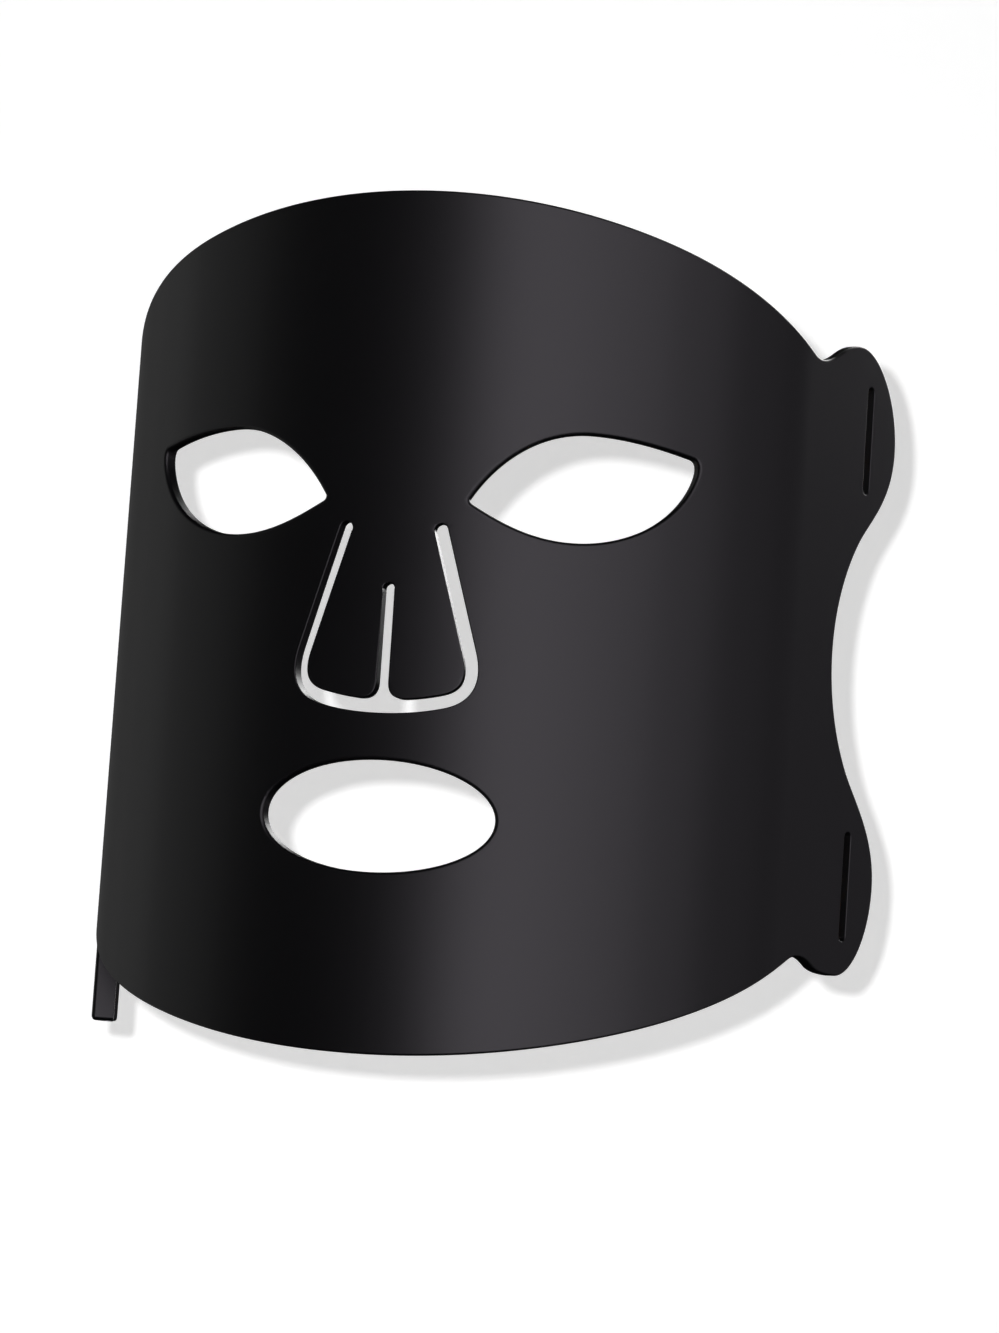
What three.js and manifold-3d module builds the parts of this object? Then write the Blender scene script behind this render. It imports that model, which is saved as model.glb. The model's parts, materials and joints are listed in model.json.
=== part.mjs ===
// A flexible LED face mask. A black silicone cover, bent round the face, is a shallow tray with a rim
// round its edge and its openings. In the tray lie a net-shaped flexible circuit with its LED packages
// and a translucent silicone liner with a window dome over each LED. Two silicone flaps cover the nose,
// four tabs take the straps, and the lead plugs into a stub on the lower tab at -X.
// Millimetres, +Z up. The mask faces -Y and the wearer's head is at +Y. The origin is on the front face,
// on the middle line at half height. "Across" is measured along the sheet, as if it were laid flat, from
// the middle line; "height" is Z; "depth" goes from the front face towards the wearer.
import * as THREE from "three";
import { mergeVertices, toCreasedNormals } from "three/addons/utils/BufferGeometryUtils.js";
import Module from "manifold-3d";

const wasm = await Module();
wasm.setup();

// The bend of the sheet, at its front face: cheeks, then temples, then flat wings.
const cheekRadius = 115;
const cheekLength = 62;
const templeRadius = 69;
const templeLength = 45;

// Layers of the sheet.
const sheetThickness = 3;
const skinThickness = 1.1;
const easing = 0.4;
const circuitThickness = 0.2;
const gap = 0.3;

// Outline of the sheet. A drop on a tab is counted from the highest point of the brow arc or from the
// lowest point of the chin arc, towards the middle.
const crownHeight = 102.9;
const browRadius = 218;
const chinDepth = 102.8;
const chinRadius = 226;
const waistAcross = 122.1;
const waistHeight = 2.5;
const waistRadius = 50;
const waistHalfHeight = 28;
const upperTab = {
  side: 1,
  reach: crownHeight,
  arcEnd: 108.5,
  notchAcross: 112.5,
  notchDrop: 31.1,
  shoulderAcross: 119.5,
  shoulderDrop: 26.5,
  crestAcross: 128.5,
  crestDrop: 23.4,
  crestPullShare: 0.5,
  tipAcross: 144.4,
  tipDrop: 46.9,
  slotDrop: 46.2,
};
const lowerTab = {
  side: -1,
  reach: chinDepth,
  arcEnd: 111.5,
  notchAcross: 116.2,
  notchDrop: 32.3,
  shoulderAcross: 121.7,
  shoulderDrop: 28.8,
  crestAcross: 132,
  crestDrop: 27.1,
  crestPullShare: 0.57,
  tipAcross: 145.4,
  tipDrop: 49.8,
  slotDrop: 49.1,
};
const tipPull = 11;
const waistPull = 8;

// Strap slots in the tabs.
const slotLength = 26.8;
const slotWidth = 2.4;
const slotInset = 11.3;

// Eye opening at +X; the other eye mirrors it. The shares are of its width and height, from its inner
// corner clockwise: a start, and then two handles and an end for each curve.
const eyeInner = 17.9;
const eyeWidth = 55.7;
const eyeBottom = 20.1;
const eyeHeight = 26;
const eyeStartShares = [0.005, 0.35];
const eyeCurveShares = [
  [0.11, 0.708, 0.289, 1, 0.513, 1],
  [0.666, 1, 0.81, 0.942, 0.962, 0.873],
  [0.987, 0.858, 0.994, 0.804, 0.982, 0.712],
  [0.926, 0.323, 0.702, 0, 0.451, 0],
  [0.271, 0, 0.136, 0.15, 0.016, 0.296],
  [0.005, 0.312, 0.002, 0.33, 0.005, 0.35],
];

// Mouth opening.
const mouthHalfWidth = 29.3;
const mouthHalfHeight = 13.3;
const mouthDrop = 46.9;

// Nose: two outer slits that meet in an arc under the nose, and a slit up the middle.
const noseSlitWidth = 3.2;
const noseSlitTopAcross = 11.9;
const noseSlitTopHeight = 21.1;
const noseSlitFootAcross = 20.7;
const noseSlitFootDrop = 8.2;
const noseCornerAcross = 23.2;
const noseCornerDrop = 17.3;
const noseBaseAcross = 15;
const noseBaseDrop = 19.3;
const noseArcAcross = 8;
const noseArcDrop = 21;
const middleSlitWidth = 2.9;
const middleSlitTop = 6.85;
const flapCornerRadius = 2.3;

// Tray, liner and circuit.
const linerHalfWidth = 110;
const linerCornerRadius = 9;
const rimWidth = 3.2;
const circuitInset = 6;
const circuitMargin = 1.8;
const branchWidth = 7;

// LED packages, on a grid of rows and columns that skips the openings.
const ledWidth = 3.5;
const ledHeight = 2.8;
const ledThickness = 0.8;
const ledCupDepth = 0.35;
const ledCupMouth = 1.1;
const ledCupFloor = 0.8;
const columnPitch = 39;
const rowPitch = 16;
const rowStart = 6.4;
const ledToOpening = 7;
const ledToEdge = 7.4;
const pocketClearance = 0.3;
const domeRadius = 3.6;
const domeHeight = 0.7;
const domeRoot = 0.4;
const domeRadiusShares = [0, 0.7, 1];

// Lead inlet: a two-part stub beside the lower tab at -X, with a small board and a socket that faces
// down. Below the edge of the sheet its foot comes forward.
const inletWidth = 14;
const inletFootRise = 4.9;
const inletLidLength = 41.9;
const inletShoulder = 3.7;
const inletSlope = 7;
const inletFootFront = 0.4;
const inletBack = 6.85;
const inletWall = 0.95;
const inletLidThickness = 0.8;
const inletCorner = 1.3;
const inletSideGap = 0.8;
const socketWidth = 8.94;
const socketHeight = 3.1;
const socketLength = 7.3;
const socketWall = 0.3;
const socketProud = 0.1;
const tongueWidth = 6.7;
const tongueThickness = 0.7;
const tongueLength = 4.6;
const tongueBlockLength = 1.8;
const boardWidth = 11.2;
const boardThickness = 0.8;
const boardLength = 15;
const tailRise = 35.9;
const tailWidth = 9;
const tailReach = 6;

// Cuts run this far past what they cut, and round stretches have this many steps.
const overrun = 2;
const snap = 1e-6;
const flatness = 0.002;
const repeatDistance = 0.03;
const cornerReachShare = 0.5;
const cheekFacets = 7;
const templeFacets = 6;
const curveSteps = 5;
const cornerSteps = 3;
const ledSteps = 6;
const domeSteps = 8;

const bendEnd = cheekLength + templeLength;
const farAcross = Math.max(upperTab.tipAcross, lowerTab.tipAcross) + overrun;
const linerFront = skinThickness + gap + circuitThickness + gap;
const circuitFront = skinThickness + gap;
const circuitHalfWidth = linerHalfWidth - circuitInset;
const inletFront = skinThickness + gap;
const inletAcross = linerHalfWidth + inletSideGap + inletWidth / 2;
const inletFoot = inletFootRise - chinDepth;
const inletLidTop = inletFoot + inletLidLength;
const inletShoulderTop = inletLidTop + gap + inletShoulder;
const inletTop = inletShoulderTop + inletSlope;
const inletStep = lowerTab.crestDrop - chinDepth - gap;
const tailHeight = inletFoot + tailRise;

const siliconeBlack = new THREE.MeshStandardMaterial({ color: 0x1b1a1d, roughness: 0.48 });
const siliconeClear = new THREE.MeshStandardMaterial({ color: 0xcfc9c6, roughness: 0.35 });
const polyimide = new THREE.MeshStandardMaterial({ color: 0xb06a1c, roughness: 0.4 });
const ledWhite = new THREE.MeshStandardMaterial({ color: 0xf1ede0, roughness: 0.5 });
const plasticBlack = new THREE.MeshStandardMaterial({ color: 0x141416, roughness: 0.55 });
const steel = new THREE.MeshStandardMaterial({ color: 0xb9bbbd, roughness: 0.3, metalness: 1 });
const boardGreen = new THREE.MeshStandardMaterial({ color: 0x1f5a3a, roughness: 0.5 });

// Solids and geometries

function solidOf(points, triangles) {
  const vertProperties = new Float32Array(points.flat());
  const triVerts = new Uint32Array(triangles.flat());
  return new wasm.Manifold(new wasm.Mesh({ numProp: 3, vertProperties, triVerts }));
}

function solidFrom(geometry) {
  const bare = geometry.index ? geometry.toNonIndexed() : geometry.clone();
  bare.deleteAttribute("normal");
  bare.deleteAttribute("uv");
  const merged = mergeVertices(bare);
  const vertProperties = merged.attributes.position.array;
  const triVerts = new Uint32Array(merged.index.array);
  return new wasm.Manifold(new wasm.Mesh({ numProp: 3, vertProperties, triVerts }));
}

function geometryFrom(solid) {
  const mesh = solid.getMesh();
  const geometry = new THREE.BufferGeometry();
  geometry.setAttribute("position", new THREE.BufferAttribute(mesh.vertProperties, 3));
  geometry.setIndex(new THREE.BufferAttribute(mesh.triVerts, 1));
  return geometry;
}

// A box from its lowest to its highest corner.
function boxBetween(low, high) {
  const size = high.map((value, i) => value - low[i]);
  const middle = high.map((value, i) => (value + low[i]) / 2);
  return new THREE.BoxGeometry(...size).translate(...middle);
}

// The bend

// The front face at a distance across: its place and the angle it has turned through.
function sectionAt(across) {
  const side = Math.sign(across);
  const length = Math.abs(across);
  const cheek = Math.min(length, cheekLength);
  const temple = Math.min(Math.max(length - cheekLength, 0), templeLength);
  const wing = Math.max(length - bendEnd, 0);
  const cheekAngle = cheek / cheekRadius;
  const angle = cheekAngle + temple / templeRadius;
  let x = cheekRadius * Math.sin(cheekAngle);
  let y = cheekRadius * (1 - Math.cos(cheekAngle));
  x += templeRadius * (Math.sin(angle) - Math.sin(cheekAngle)) + wing * Math.cos(angle);
  y += templeRadius * (Math.cos(cheekAngle) - Math.cos(angle)) + wing * Math.sin(angle);
  return { x: side * x, y, angle: side * angle };
}

// Where the sheet is creased into flat facets; the wings outside the last lines stay flat.
function creaseLines() {
  const lines = [];
  for (let i = 1; i <= cheekFacets; i++) lines.push((cheekLength * i) / cheekFacets);
  for (let i = 1; i <= templeFacets; i++) {
    lines.push(cheekLength + (templeLength * i) / templeFacets);
  }
  return [-farAcross, ...lines.map((line) => -line).reverse(), 0, ...lines, farAcross];
}
const creases = creaseLines();

function pointAt(across, depth) {
  const { x, y, angle } = sectionAt(across);
  return [x - depth * Math.sin(angle), y + depth * Math.cos(angle)];
}

// Splits the triangles that a crease line crosses. Neighbours share the new corner on their edge.
function splitAt(line, points, triangles) {
  const offsets = points.map(([across]) => (Math.abs(across - line) < snap ? 0 : across - line));
  const cuts = new Map();
  const cutBetween = (a, b) => {
    const low = Math.min(a, b);
    const high = Math.max(a, b);
    const key = `${low} ${high}`;
    if (!cuts.has(key)) {
      const share = offsets[low] / (offsets[low] - offsets[high]);
      cuts.set(key, points.length);
      points.push(points[low].map((value, i) => value + (points[high][i] - value) * share));
    }
    return cuts.get(key);
  };
  return triangles.flatMap((corners) => {
    const sides = corners.map((corner) => Math.sign(offsets[corner]));
    if (!sides.includes(1) || !sides.includes(-1)) return [corners];
    return [1, -1].flatMap((side) => {
      const part = [];
      corners.forEach((corner, i) => {
        const next = (i + 1) % corners.length;
        if (sides[i] !== -side) part.push(corner);
        if (sides[i] * sides[next] < 0) part.push(cutBetween(corner, corners[next]));
      });
      return part.slice(2).map((corner, i) => [part[0], part[i + 1], corner]);
    });
  });
}

// The place of a flat point, with axes across, depth and height, on its facet of the bent sheet.
function bentPoint([across, depth, height]) {
  const next = creases.findIndex((line, i) => i > 0 && across <= line);
  const from = creases[next - 1];
  const to = creases[next];
  const share = (across - from) / (to - from);
  const start = pointAt(from, depth);
  const end = pointAt(to, depth);
  return [start[0] * (1 - share) + end[0] * share, start[1] * (1 - share) + end[1] * share, height];
}

// Bends a flat solid to the face: its triangles are split at the creases and laid on their facets.
function bent(flatSolid) {
  const { vertProperties, triVerts } = flatSolid.getMesh();
  const points = [];
  let triangles = [];
  for (let v = 0; v < vertProperties.length; v += 3) points.push([...vertProperties.slice(v, v + 3)]);
  for (let t = 0; t < triVerts.length; t += 3) triangles.push([...triVerts.slice(t, t + 3)]);
  for (const line of creases) triangles = splitAt(line, points, triangles);
  return solidOf(points.map(bentPoint), triangles).simplify(flatness);
}

// A prism on the plane x, y, from its outer loop and its holes; the loops may run either way round.
function prism(loop, holes, height) {
  const outer = THREE.ShapeUtils.isClockWise(loop) ? [...loop].reverse() : loop;
  const shape = new THREE.Shape(outer);
  for (const hole of holes) shape.holes.push(new THREE.Path(hole));
  return new THREE.ExtrudeGeometry(shape, { depth: height, bevelEnabled: false });
}

// A solid through rings of as many points each, from the front one to the back one. A ring is a loop at
// a depth, and the solid's axes are across, depth and height.
function ringSolid(rings) {
  const count = rings[0].loop.length;
  const turned = THREE.ShapeUtils.isClockWise(rings[0].loop);
  const points = rings.flatMap(({ loop, depth }) => {
    const run = turned ? [...loop].reverse() : loop;
    return run.map((p) => [p.x, depth, p.y]);
  });
  const flat = turned ? [...rings[0].loop].reverse() : rings[0].loop;
  const cap = THREE.ShapeUtils.triangulateShape(flat, []);
  const last = (rings.length - 1) * count;
  const triangles = cap.flatMap(([a, b, c]) => [
    [a, b, c],
    [c + last, b + last, a + last],
  ]);
  for (let ring = 0; ring + 1 < rings.length; ring++) {
    for (let i = 0; i < count; i++) {
      const a = ring * count + i;
      const b = ring * count + ((i + 1) % count);
      triangles.push([a, a + count, b], [b, a + count, b + count]);
    }
  }
  return solidOf(points, triangles);
}

function slab(loop, front, back) {
  return ringSolid([
    { loop, depth: front },
    { loop, depth: back },
  ]);
}

function flatSheet(loop, holes, front, back) {
  const cuts = holes.map((hole) => slab(hole, front - overrun, back + overrun));
  return wasm.Manifold.difference([slab(loop, front, back), ...cuts]);
}

// The sheet at its full thickness, with the edge of its front face eased.
function easedSheet(loop) {
  const inner = grown(loop, -easing);
  return ringSolid([
    { loop: inner, depth: 0 },
    { loop, depth: easing },
    { loop, depth: sheetThickness },
  ]);
}

// What an opening with eased edges takes out of the sheet.
function easedCut(loop) {
  const outer = grown(loop, easing + overrun);
  return ringSolid([
    { loop: outer, depth: -overrun },
    { loop, depth: easing },
    { loop, depth: sheetThickness + overrun },
  ]);
}

// Moves a geometry from its own axes (x along the sheet, y towards the wearer, z up) to its place.
function seatOnSheet(geometry, across, height, depth) {
  const { angle } = sectionAt(across);
  const [x, y] = pointAt(across, depth);
  return geometry.clone().rotateZ(angle).translate(x, y, height);
}

// Outlines

function mirrored(points) {
  return points.map((p) => new THREE.Vector2(-p.x, p.y)).reverse();
}

// Moves each point of a closed loop outwards; the loop may run either way round.
function grown(loop, distance) {
  const side = THREE.ShapeUtils.isClockWise(loop) ? 1 : -1;
  return loop.map((point, i) => {
    const before = loop[(i + loop.length - 1) % loop.length];
    const after = loop[(i + 1) % loop.length];
    const into = point.clone().sub(before).normalize();
    const out = after.clone().sub(point).normalize();
    const normal = new THREE.Vector2(-into.y - out.y, into.x + out.x).normalize();
    const turn = Math.max(normal.dot(new THREE.Vector2(-into.y, into.x)), cornerReachShare);
    return point.clone().addScaledVector(normal, (side * distance) / turn);
  });
}

// Moves an open line sideways, to the left of its run for a positive distance.
function besideLine(line, distance) {
  return line.map((point, i) => {
    const before = line[Math.max(i - 1, 0)];
    const after = line[Math.min(i + 1, line.length - 1)];
    const run = after.clone().sub(before).normalize();
    return new THREE.Vector2(point.x - run.y * distance, point.y + run.x * distance);
  });
}

function withoutRepeats(points) {
  return points.filter((p, i) => p.distanceTo(points[(i + 1) % points.length]) > repeatDistance);
}

// A height on a tab, from its drop.
function tabHeight(tab, drop) {
  return tab.side * (tab.reach - drop);
}

// The curved edge of a tab, from the end of the brow or chin arc to the waist.
function tabEdge(path, tab, waistEnd, waistRun) {
  const notchHeight = tabHeight(tab, tab.notchDrop);
  const shoulderHeight = tabHeight(tab, tab.shoulderDrop);
  const crestHeight = tabHeight(tab, tab.crestDrop);
  const tipHeight = tabHeight(tab, tab.tipDrop);
  path.quadraticCurveTo(tab.notchAcross, notchHeight, tab.shoulderAcross, shoulderHeight);
  const rise = (shoulderHeight - notchHeight) / (tab.shoulderAcross - tab.notchAcross);
  const crestStart = tab.shoulderAcross + (crestHeight - shoulderHeight) / rise;
  path.quadraticCurveTo(crestStart, crestHeight, tab.crestAcross, crestHeight);
  path.bezierCurveTo(
    tab.crestAcross + tab.crestPullShare * (tab.tipAcross - tab.crestAcross),
    crestHeight,
    tab.tipAcross,
    tipHeight + tab.crestPullShare * (crestHeight - tipHeight),
    tab.tipAcross,
    tipHeight,
  );
  path.bezierCurveTo(
    tab.tipAcross,
    tipHeight - tab.side * tipPull,
    waistEnd.x - waistRun.x * waistPull,
    waistEnd.y - waistRun.y * waistPull,
    waistEnd.x,
    waistEnd.y,
  );
}

function maskOutline() {
  const waistAngle = Math.asin(waistHalfHeight / waistRadius);
  const waistCentre = waistAcross + waistRadius;
  const waistEdge = waistCentre - waistRadius * Math.cos(waistAngle);
  const upper = new THREE.Path();
  upper.absarc(
    0,
    crownHeight - browRadius,
    browRadius,
    Math.PI / 2,
    Math.acos(upperTab.arcEnd / browRadius),
    true,
  );
  const upperEnd = new THREE.Vector2(waistEdge, waistHeight + waistHalfHeight);
  tabEdge(upper, upperTab, upperEnd, new THREE.Vector2(-Math.sin(waistAngle), -Math.cos(waistAngle)));
  upper.absarc(waistCentre, waistHeight, waistRadius, Math.PI - waistAngle, Math.PI, false);
  const lower = new THREE.Path();
  lower.absarc(
    0,
    chinRadius - chinDepth,
    chinRadius,
    -Math.PI / 2,
    -Math.acos(lowerTab.arcEnd / chinRadius),
    false,
  );
  const lowerEnd = new THREE.Vector2(waistEdge, waistHeight - waistHalfHeight);
  tabEdge(lower, lowerTab, lowerEnd, new THREE.Vector2(-Math.sin(waistAngle), Math.cos(waistAngle)));
  lower.absarc(waistCentre, waistHeight, waistRadius, Math.PI + waistAngle, Math.PI, true);
  const half = [...upper.getPoints(curveSteps), ...lower.getPoints(curveSteps).reverse()];
  return withoutRepeats([...half, ...mirrored(half)]);
}

function slotOutline(tab) {
  const across = tab.tipAcross - slotInset;
  const height = tabHeight(tab, tab.slotDrop);
  const radius = slotWidth / 2;
  const straight = slotLength / 2 - radius;
  const path = new THREE.Path();
  path.absarc(across, height + straight, radius, 0, Math.PI, false);
  path.absarc(across, height - straight, radius, Math.PI, 2 * Math.PI, false);
  return withoutRepeats(path.getPoints(cornerSteps));
}

function eyeOutline() {
  const placed = (shares) =>
    shares.map((share, i) =>
      i % 2 === 0 ? eyeInner + share * eyeWidth : eyeBottom + share * eyeHeight,
    );
  const path = new THREE.Path();
  path.moveTo(...placed(eyeStartShares));
  for (const shares of eyeCurveShares) path.bezierCurveTo(...placed(shares));
  return withoutRepeats(path.getPoints(curveSteps));
}

function mouthOutline() {
  const path = new THREE.Path();
  path.absellipse(0, -mouthDrop, mouthHalfWidth, mouthHalfHeight, 0, 2 * Math.PI, false, 0);
  return withoutRepeats(path.getPoints(2 * curveSteps));
}

// The middle line of the outer slit at +X, from its top end to the middle line of the mask.
function noseSlitLine() {
  const path = new THREE.Path();
  path.moveTo(noseSlitTopAcross, noseSlitTopHeight);
  path.lineTo(noseSlitFootAcross, -noseSlitFootDrop);
  path.quadraticCurveTo(noseCornerAcross, -noseCornerDrop, noseBaseAcross, -noseBaseDrop);
  path.quadraticCurveTo(noseArcAcross, -noseArcDrop, 0, -noseArcDrop);
  return path.getPoints(curveSteps);
}
const slitLine = noseSlitLine();
const slitInner = besideLine(slitLine, -noseSlitWidth / 2);
const slitOuter = besideLine(slitLine, noseSlitWidth / 2);

// The flap at +X bends along its root, from the top of the middle slit to the top of the outer one.
const rootLow = new THREE.Vector2(middleSlitWidth / 2, middleSlitTop);
const rootHigh = slitInner[0];
const rootRun = rootHigh.clone().sub(rootLow).normalize();

// The round top end of the outer slit at +X, clockwise from a direction to its outer side.
function noseSlitEnd(start) {
  const run = slitLine[1].clone().sub(slitLine[0]).normalize();
  const path = new THREE.Path();
  path.absarc(
    noseSlitTopAcross,
    noseSlitTopHeight,
    noseSlitWidth / 2,
    start,
    Math.atan2(run.x, -run.y),
    true,
  );
  return path.getPoints(cornerSteps).slice(0, -1);
}

// The nose opening in the cover, which the two flaps fill but for the slits.
function noseOutline() {
  const top = new THREE.Path();
  top.absarc(0, middleSlitTop, middleSlitWidth / 2, Math.PI / 2, 0, true);
  const start = Math.atan2(rootHigh.y - noseSlitTopHeight, rootHigh.x - noseSlitTopAcross);
  const half = [...top.getPoints(cornerSteps), ...noseSlitEnd(start), ...slitOuter];
  return withoutRepeats([...half, ...mirrored(half)]);
}

// The same opening without the tongue between the slit tops, for the layers that stay clear of it.
function noseClearing() {
  const half = [...noseSlitEnd(Math.PI / 2), ...slitOuter];
  return withoutRepeats([...half, ...mirrored(half)]);
}

function flapOutline() {
  const slitRun = slitInner[1].clone().sub(slitInner[0]).normalize();
  const rootNormal = new THREE.Vector2(rootRun.y, -rootRun.x);
  const low = new THREE.Vector2(rootLow.x, rootLow.y - gap / rootRun.x);
  const high = rootHigh.clone().addScaledVector(slitRun, gap / slitRun.dot(rootNormal));
  const edge = slitInner.slice(1).filter((p) => p.x > rootLow.x + flapCornerRadius);
  const foot = edge[edge.length - 1].y;
  const corner = new THREE.Path();
  corner.moveTo(rootLow.x + flapCornerRadius, foot);
  corner.quadraticCurveTo(rootLow.x, foot, rootLow.x, foot + flapCornerRadius);
  return withoutRepeats([low, high, ...edge, ...corner.getPoints(cornerSteps)]);
}

// A barrel-shaped field inside the brow and chin arcs, with straight sides and round corners.
function fieldOutline(halfWidth, margin, cornerRadius) {
  const brow = browRadius - margin;
  const chin = chinRadius - margin;
  const browCentre = crownHeight - browRadius;
  const chinCentre = chinRadius - chinDepth;
  const browAt = (across) => browCentre + Math.sqrt(brow * brow - across * across);
  const chinAt = (across) => chinCentre - Math.sqrt(chin * chin - across * across);
  const end = halfWidth - cornerRadius;
  const top = browAt(halfWidth);
  const bottom = chinAt(halfWidth);
  const path = new THREE.Path();
  path.absarc(0, browCentre, brow, Math.PI / 2, Math.acos(end / brow), true);
  path.quadraticCurveTo(halfWidth, top, halfWidth, top - cornerRadius);
  path.lineTo(halfWidth, bottom + cornerRadius);
  path.quadraticCurveTo(halfWidth, bottom, end, chinAt(end));
  path.absarc(0, chinCentre, chin, -Math.acos(end / chin), -Math.PI / 2, true);
  const half = path.getPoints(curveSteps);
  return withoutRepeats([...half, ...mirrored(half)]);
}

const eye = eyeOutline();
const mouth = mouthOutline();
const openings = [eye, mirrored(eye), mouth, noseClearing()];
const upperSlot = slotOutline(upperTab);
const lowerSlot = slotOutline(lowerTab);
const slots = [upperSlot, mirrored(upperSlot), lowerSlot, mirrored(lowerSlot)];

// LED places

function distanceToLoop(point, loop) {
  const start = new THREE.Vector3();
  const end = new THREE.Vector3();
  const nearest = new THREE.Vector3();
  const place = new THREE.Vector3(point.x, point.y, 0);
  const distances = loop.map((corner, i) => {
    const next = loop[(i + 1) % loop.length];
    start.set(corner.x, corner.y, 0);
    end.set(next.x, next.y, 0);
    new THREE.Line3(start, end).closestPointToPoint(place, true, nearest);
    return nearest.distanceTo(place);
  });
  return Math.min(...distances);
}

function isInside(point, loop) {
  let inside = false;
  loop.forEach((a, i) => {
    const b = loop[(i + 1) % loop.length];
    const crosses = a.y > point.y !== b.y > point.y;
    if (crosses && point.x < a.x + ((b.x - a.x) * (point.y - a.y)) / (b.y - a.y)) inside = !inside;
  });
  return inside;
}

function ledPlaces(field) {
  const columns = Math.floor(linerHalfWidth / columnPitch);
  const rowsUp = Math.ceil(crownHeight / rowPitch);
  const rowsDown = Math.ceil(chinDepth / rowPitch);
  const places = [];
  for (let row = rowsUp; row >= -rowsDown; row--) {
    for (let column = -columns; column <= columns; column++) {
      const place = new THREE.Vector2(column * columnPitch, rowStart + row * rowPitch);
      const inField = isInside(place, field) && distanceToLoop(place, field) > ledToEdge;
      const clear = openings.every(
        (loop) => !isInside(place, loop) && distanceToLoop(place, loop) > ledToOpening,
      );
      if (inField && clear) places.push(place);
    }
  }
  return places;
}

// The sheet's pieces

const outline = maskOutline();
const linerEdge = fieldOutline(linerHalfWidth, rimWidth + gap, linerCornerRadius);
const trayEdge = fieldOutline(linerHalfWidth + gap, rimWidth, linerCornerRadius + gap);
const places = ledPlaces(linerEdge);

function atInlet(low, high) {
  return solidFrom(seatOnSheet(boxBetween(low, high), -inletAcross, 0, 0));
}

// The room that the stub needs in the cover and the liner.
function inletRoom() {
  const side = inletWidth / 2 + gap;
  return atInlet(
    [-side, skinThickness, inletFoot - overrun],
    [side, sheetThickness + domeHeight + overrun, inletTop + gap],
  );
}

// The way of the circuit's tail from the tray into the stub.
function tailRoom() {
  return atInlet(
    [0, skinThickness, tailHeight - tailWidth / 2 - gap],
    [inletWidth / 2 + inletSideGap + overrun, linerFront, tailHeight + tailWidth / 2 + gap],
  );
}

function coverSolid() {
  const moulded = [eye, mirrored(eye), mouth].map(easedCut);
  const plain = [noseOutline(), ...slots].map((loop) => slab(loop, -overrun, sheetThickness + overrun));
  const body = bent(wasm.Manifold.difference([easedSheet(outline), ...moulded, ...plain]));
  const rims = openings.map((loop) => grown(loop, rimWidth));
  const tray = bent(flatSheet(trayEdge, rims, skinThickness, sheetThickness + overrun));
  return body.subtract(tray).subtract(inletRoom()).subtract(tailRoom());
}

function linerSolid() {
  const rims = openings.map((loop) => grown(loop, rimWidth + gap));
  let solid = bent(flatSheet(linerEdge, rims, linerFront, sheetThickness));
  const pocketDepth = linerFront + ledThickness + pocketClearance;
  const halfWidth = ledWidth / 2 + pocketClearance;
  const halfHeight = ledHeight / 2 + pocketClearance;
  const pocket = boxBetween(
    [-halfWidth, linerFront - overrun, -halfHeight],
    [halfWidth, pocketDepth, halfHeight],
  );
  const dome = domeGeometry();
  const domes = places.map((p) => solidFrom(seatOnSheet(dome, p.x, p.y, sheetThickness)));
  const pockets = places.map((p) => solidFrom(seatOnSheet(pocket, p.x, p.y, 0)));
  solid = wasm.Manifold.union([solid, ...domes]);
  return wasm.Manifold.difference([solid, ...pockets]);
}

// A low round window, turned about its own axis, which points towards the wearer.
function domeGeometry() {
  const rise = (share) => domeHeight * Math.sqrt(1 - share * share);
  const profile = domeRadiusShares
    .map((share) => new THREE.Vector2(domeRadius * share, rise(share)))
    .reverse();
  profile.unshift(new THREE.Vector2(0, -domeRoot), new THREE.Vector2(domeRadius, -domeRoot));
  return new THREE.LatheGeometry(profile, domeSteps);
}

// The circuit is a net of branches along the LED rows and columns, with a tail to the stub.
function circuitSolid() {
  const edge = fieldOutline(circuitHalfWidth, rimWidth + gap + circuitMargin, linerCornerRadius);
  const holes = openings.map((loop) => grown(loop, rimWidth + gap + circuitMargin));
  const field = flatSheet(edge, holes, circuitFront, circuitFront + circuitThickness);
  const half = branchWidth / 2;
  const rows = [...new Set(places.map((p) => p.y))];
  const columns = [...new Set(places.map((p) => p.x))];
  const branches = rows.map((y) =>
    boxBetween([-circuitHalfWidth, 0, y - half], [circuitHalfWidth, sheetThickness, y + half]),
  );
  for (const x of columns) {
    const reach = Math.max(...rows) + half;
    branches.push(boxBetween([x - half, 0, -reach], [x + half, sheetThickness, reach]));
  }
  const pieces = field.intersect(wasm.Manifold.union(branches.map(solidFrom))).decompose();
  const net = pieces.sort((a, b) => b.volume() - a.volume())[0];
  const lastColumn = -Math.max(...columns);
  const tail = boxBetween(
    [-inletAcross - inletWidth / 2 + tailReach, circuitFront, tailHeight - tailWidth / 2],
    [lastColumn, circuitFront + circuitThickness, tailHeight + tailWidth / 2],
  );
  return bent(net.add(solidFrom(tail)));
}

function flapSolid(side) {
  const loop = side > 0 ? flapOutline() : mirrored(flapOutline());
  return bent(flatSheet(loop, [], 0, sheetThickness));
}

// An LED package: a white body with a round cup that opens towards the wearer.
function ledGeometry() {
  const body = boxBetween(
    [-ledWidth / 2, 0, -ledHeight / 2],
    [ledWidth / 2, ledThickness, ledHeight / 2],
  );
  const cup = new THREE.LatheGeometry(
    [
      new THREE.Vector2(0, ledThickness - ledCupDepth),
      new THREE.Vector2(ledCupFloor, ledThickness - ledCupDepth),
      new THREE.Vector2(ledCupMouth, ledThickness),
      new THREE.Vector2(ledCupMouth, ledThickness + overrun),
      new THREE.Vector2(0, ledThickness + overrun),
    ],
    ledSteps,
  );
  return geometryFrom(solidFrom(body).subtract(solidFrom(cup)));
}

// The lead inlet, in its own axes: x along the sheet, y the depth, z the height on the mask

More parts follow.
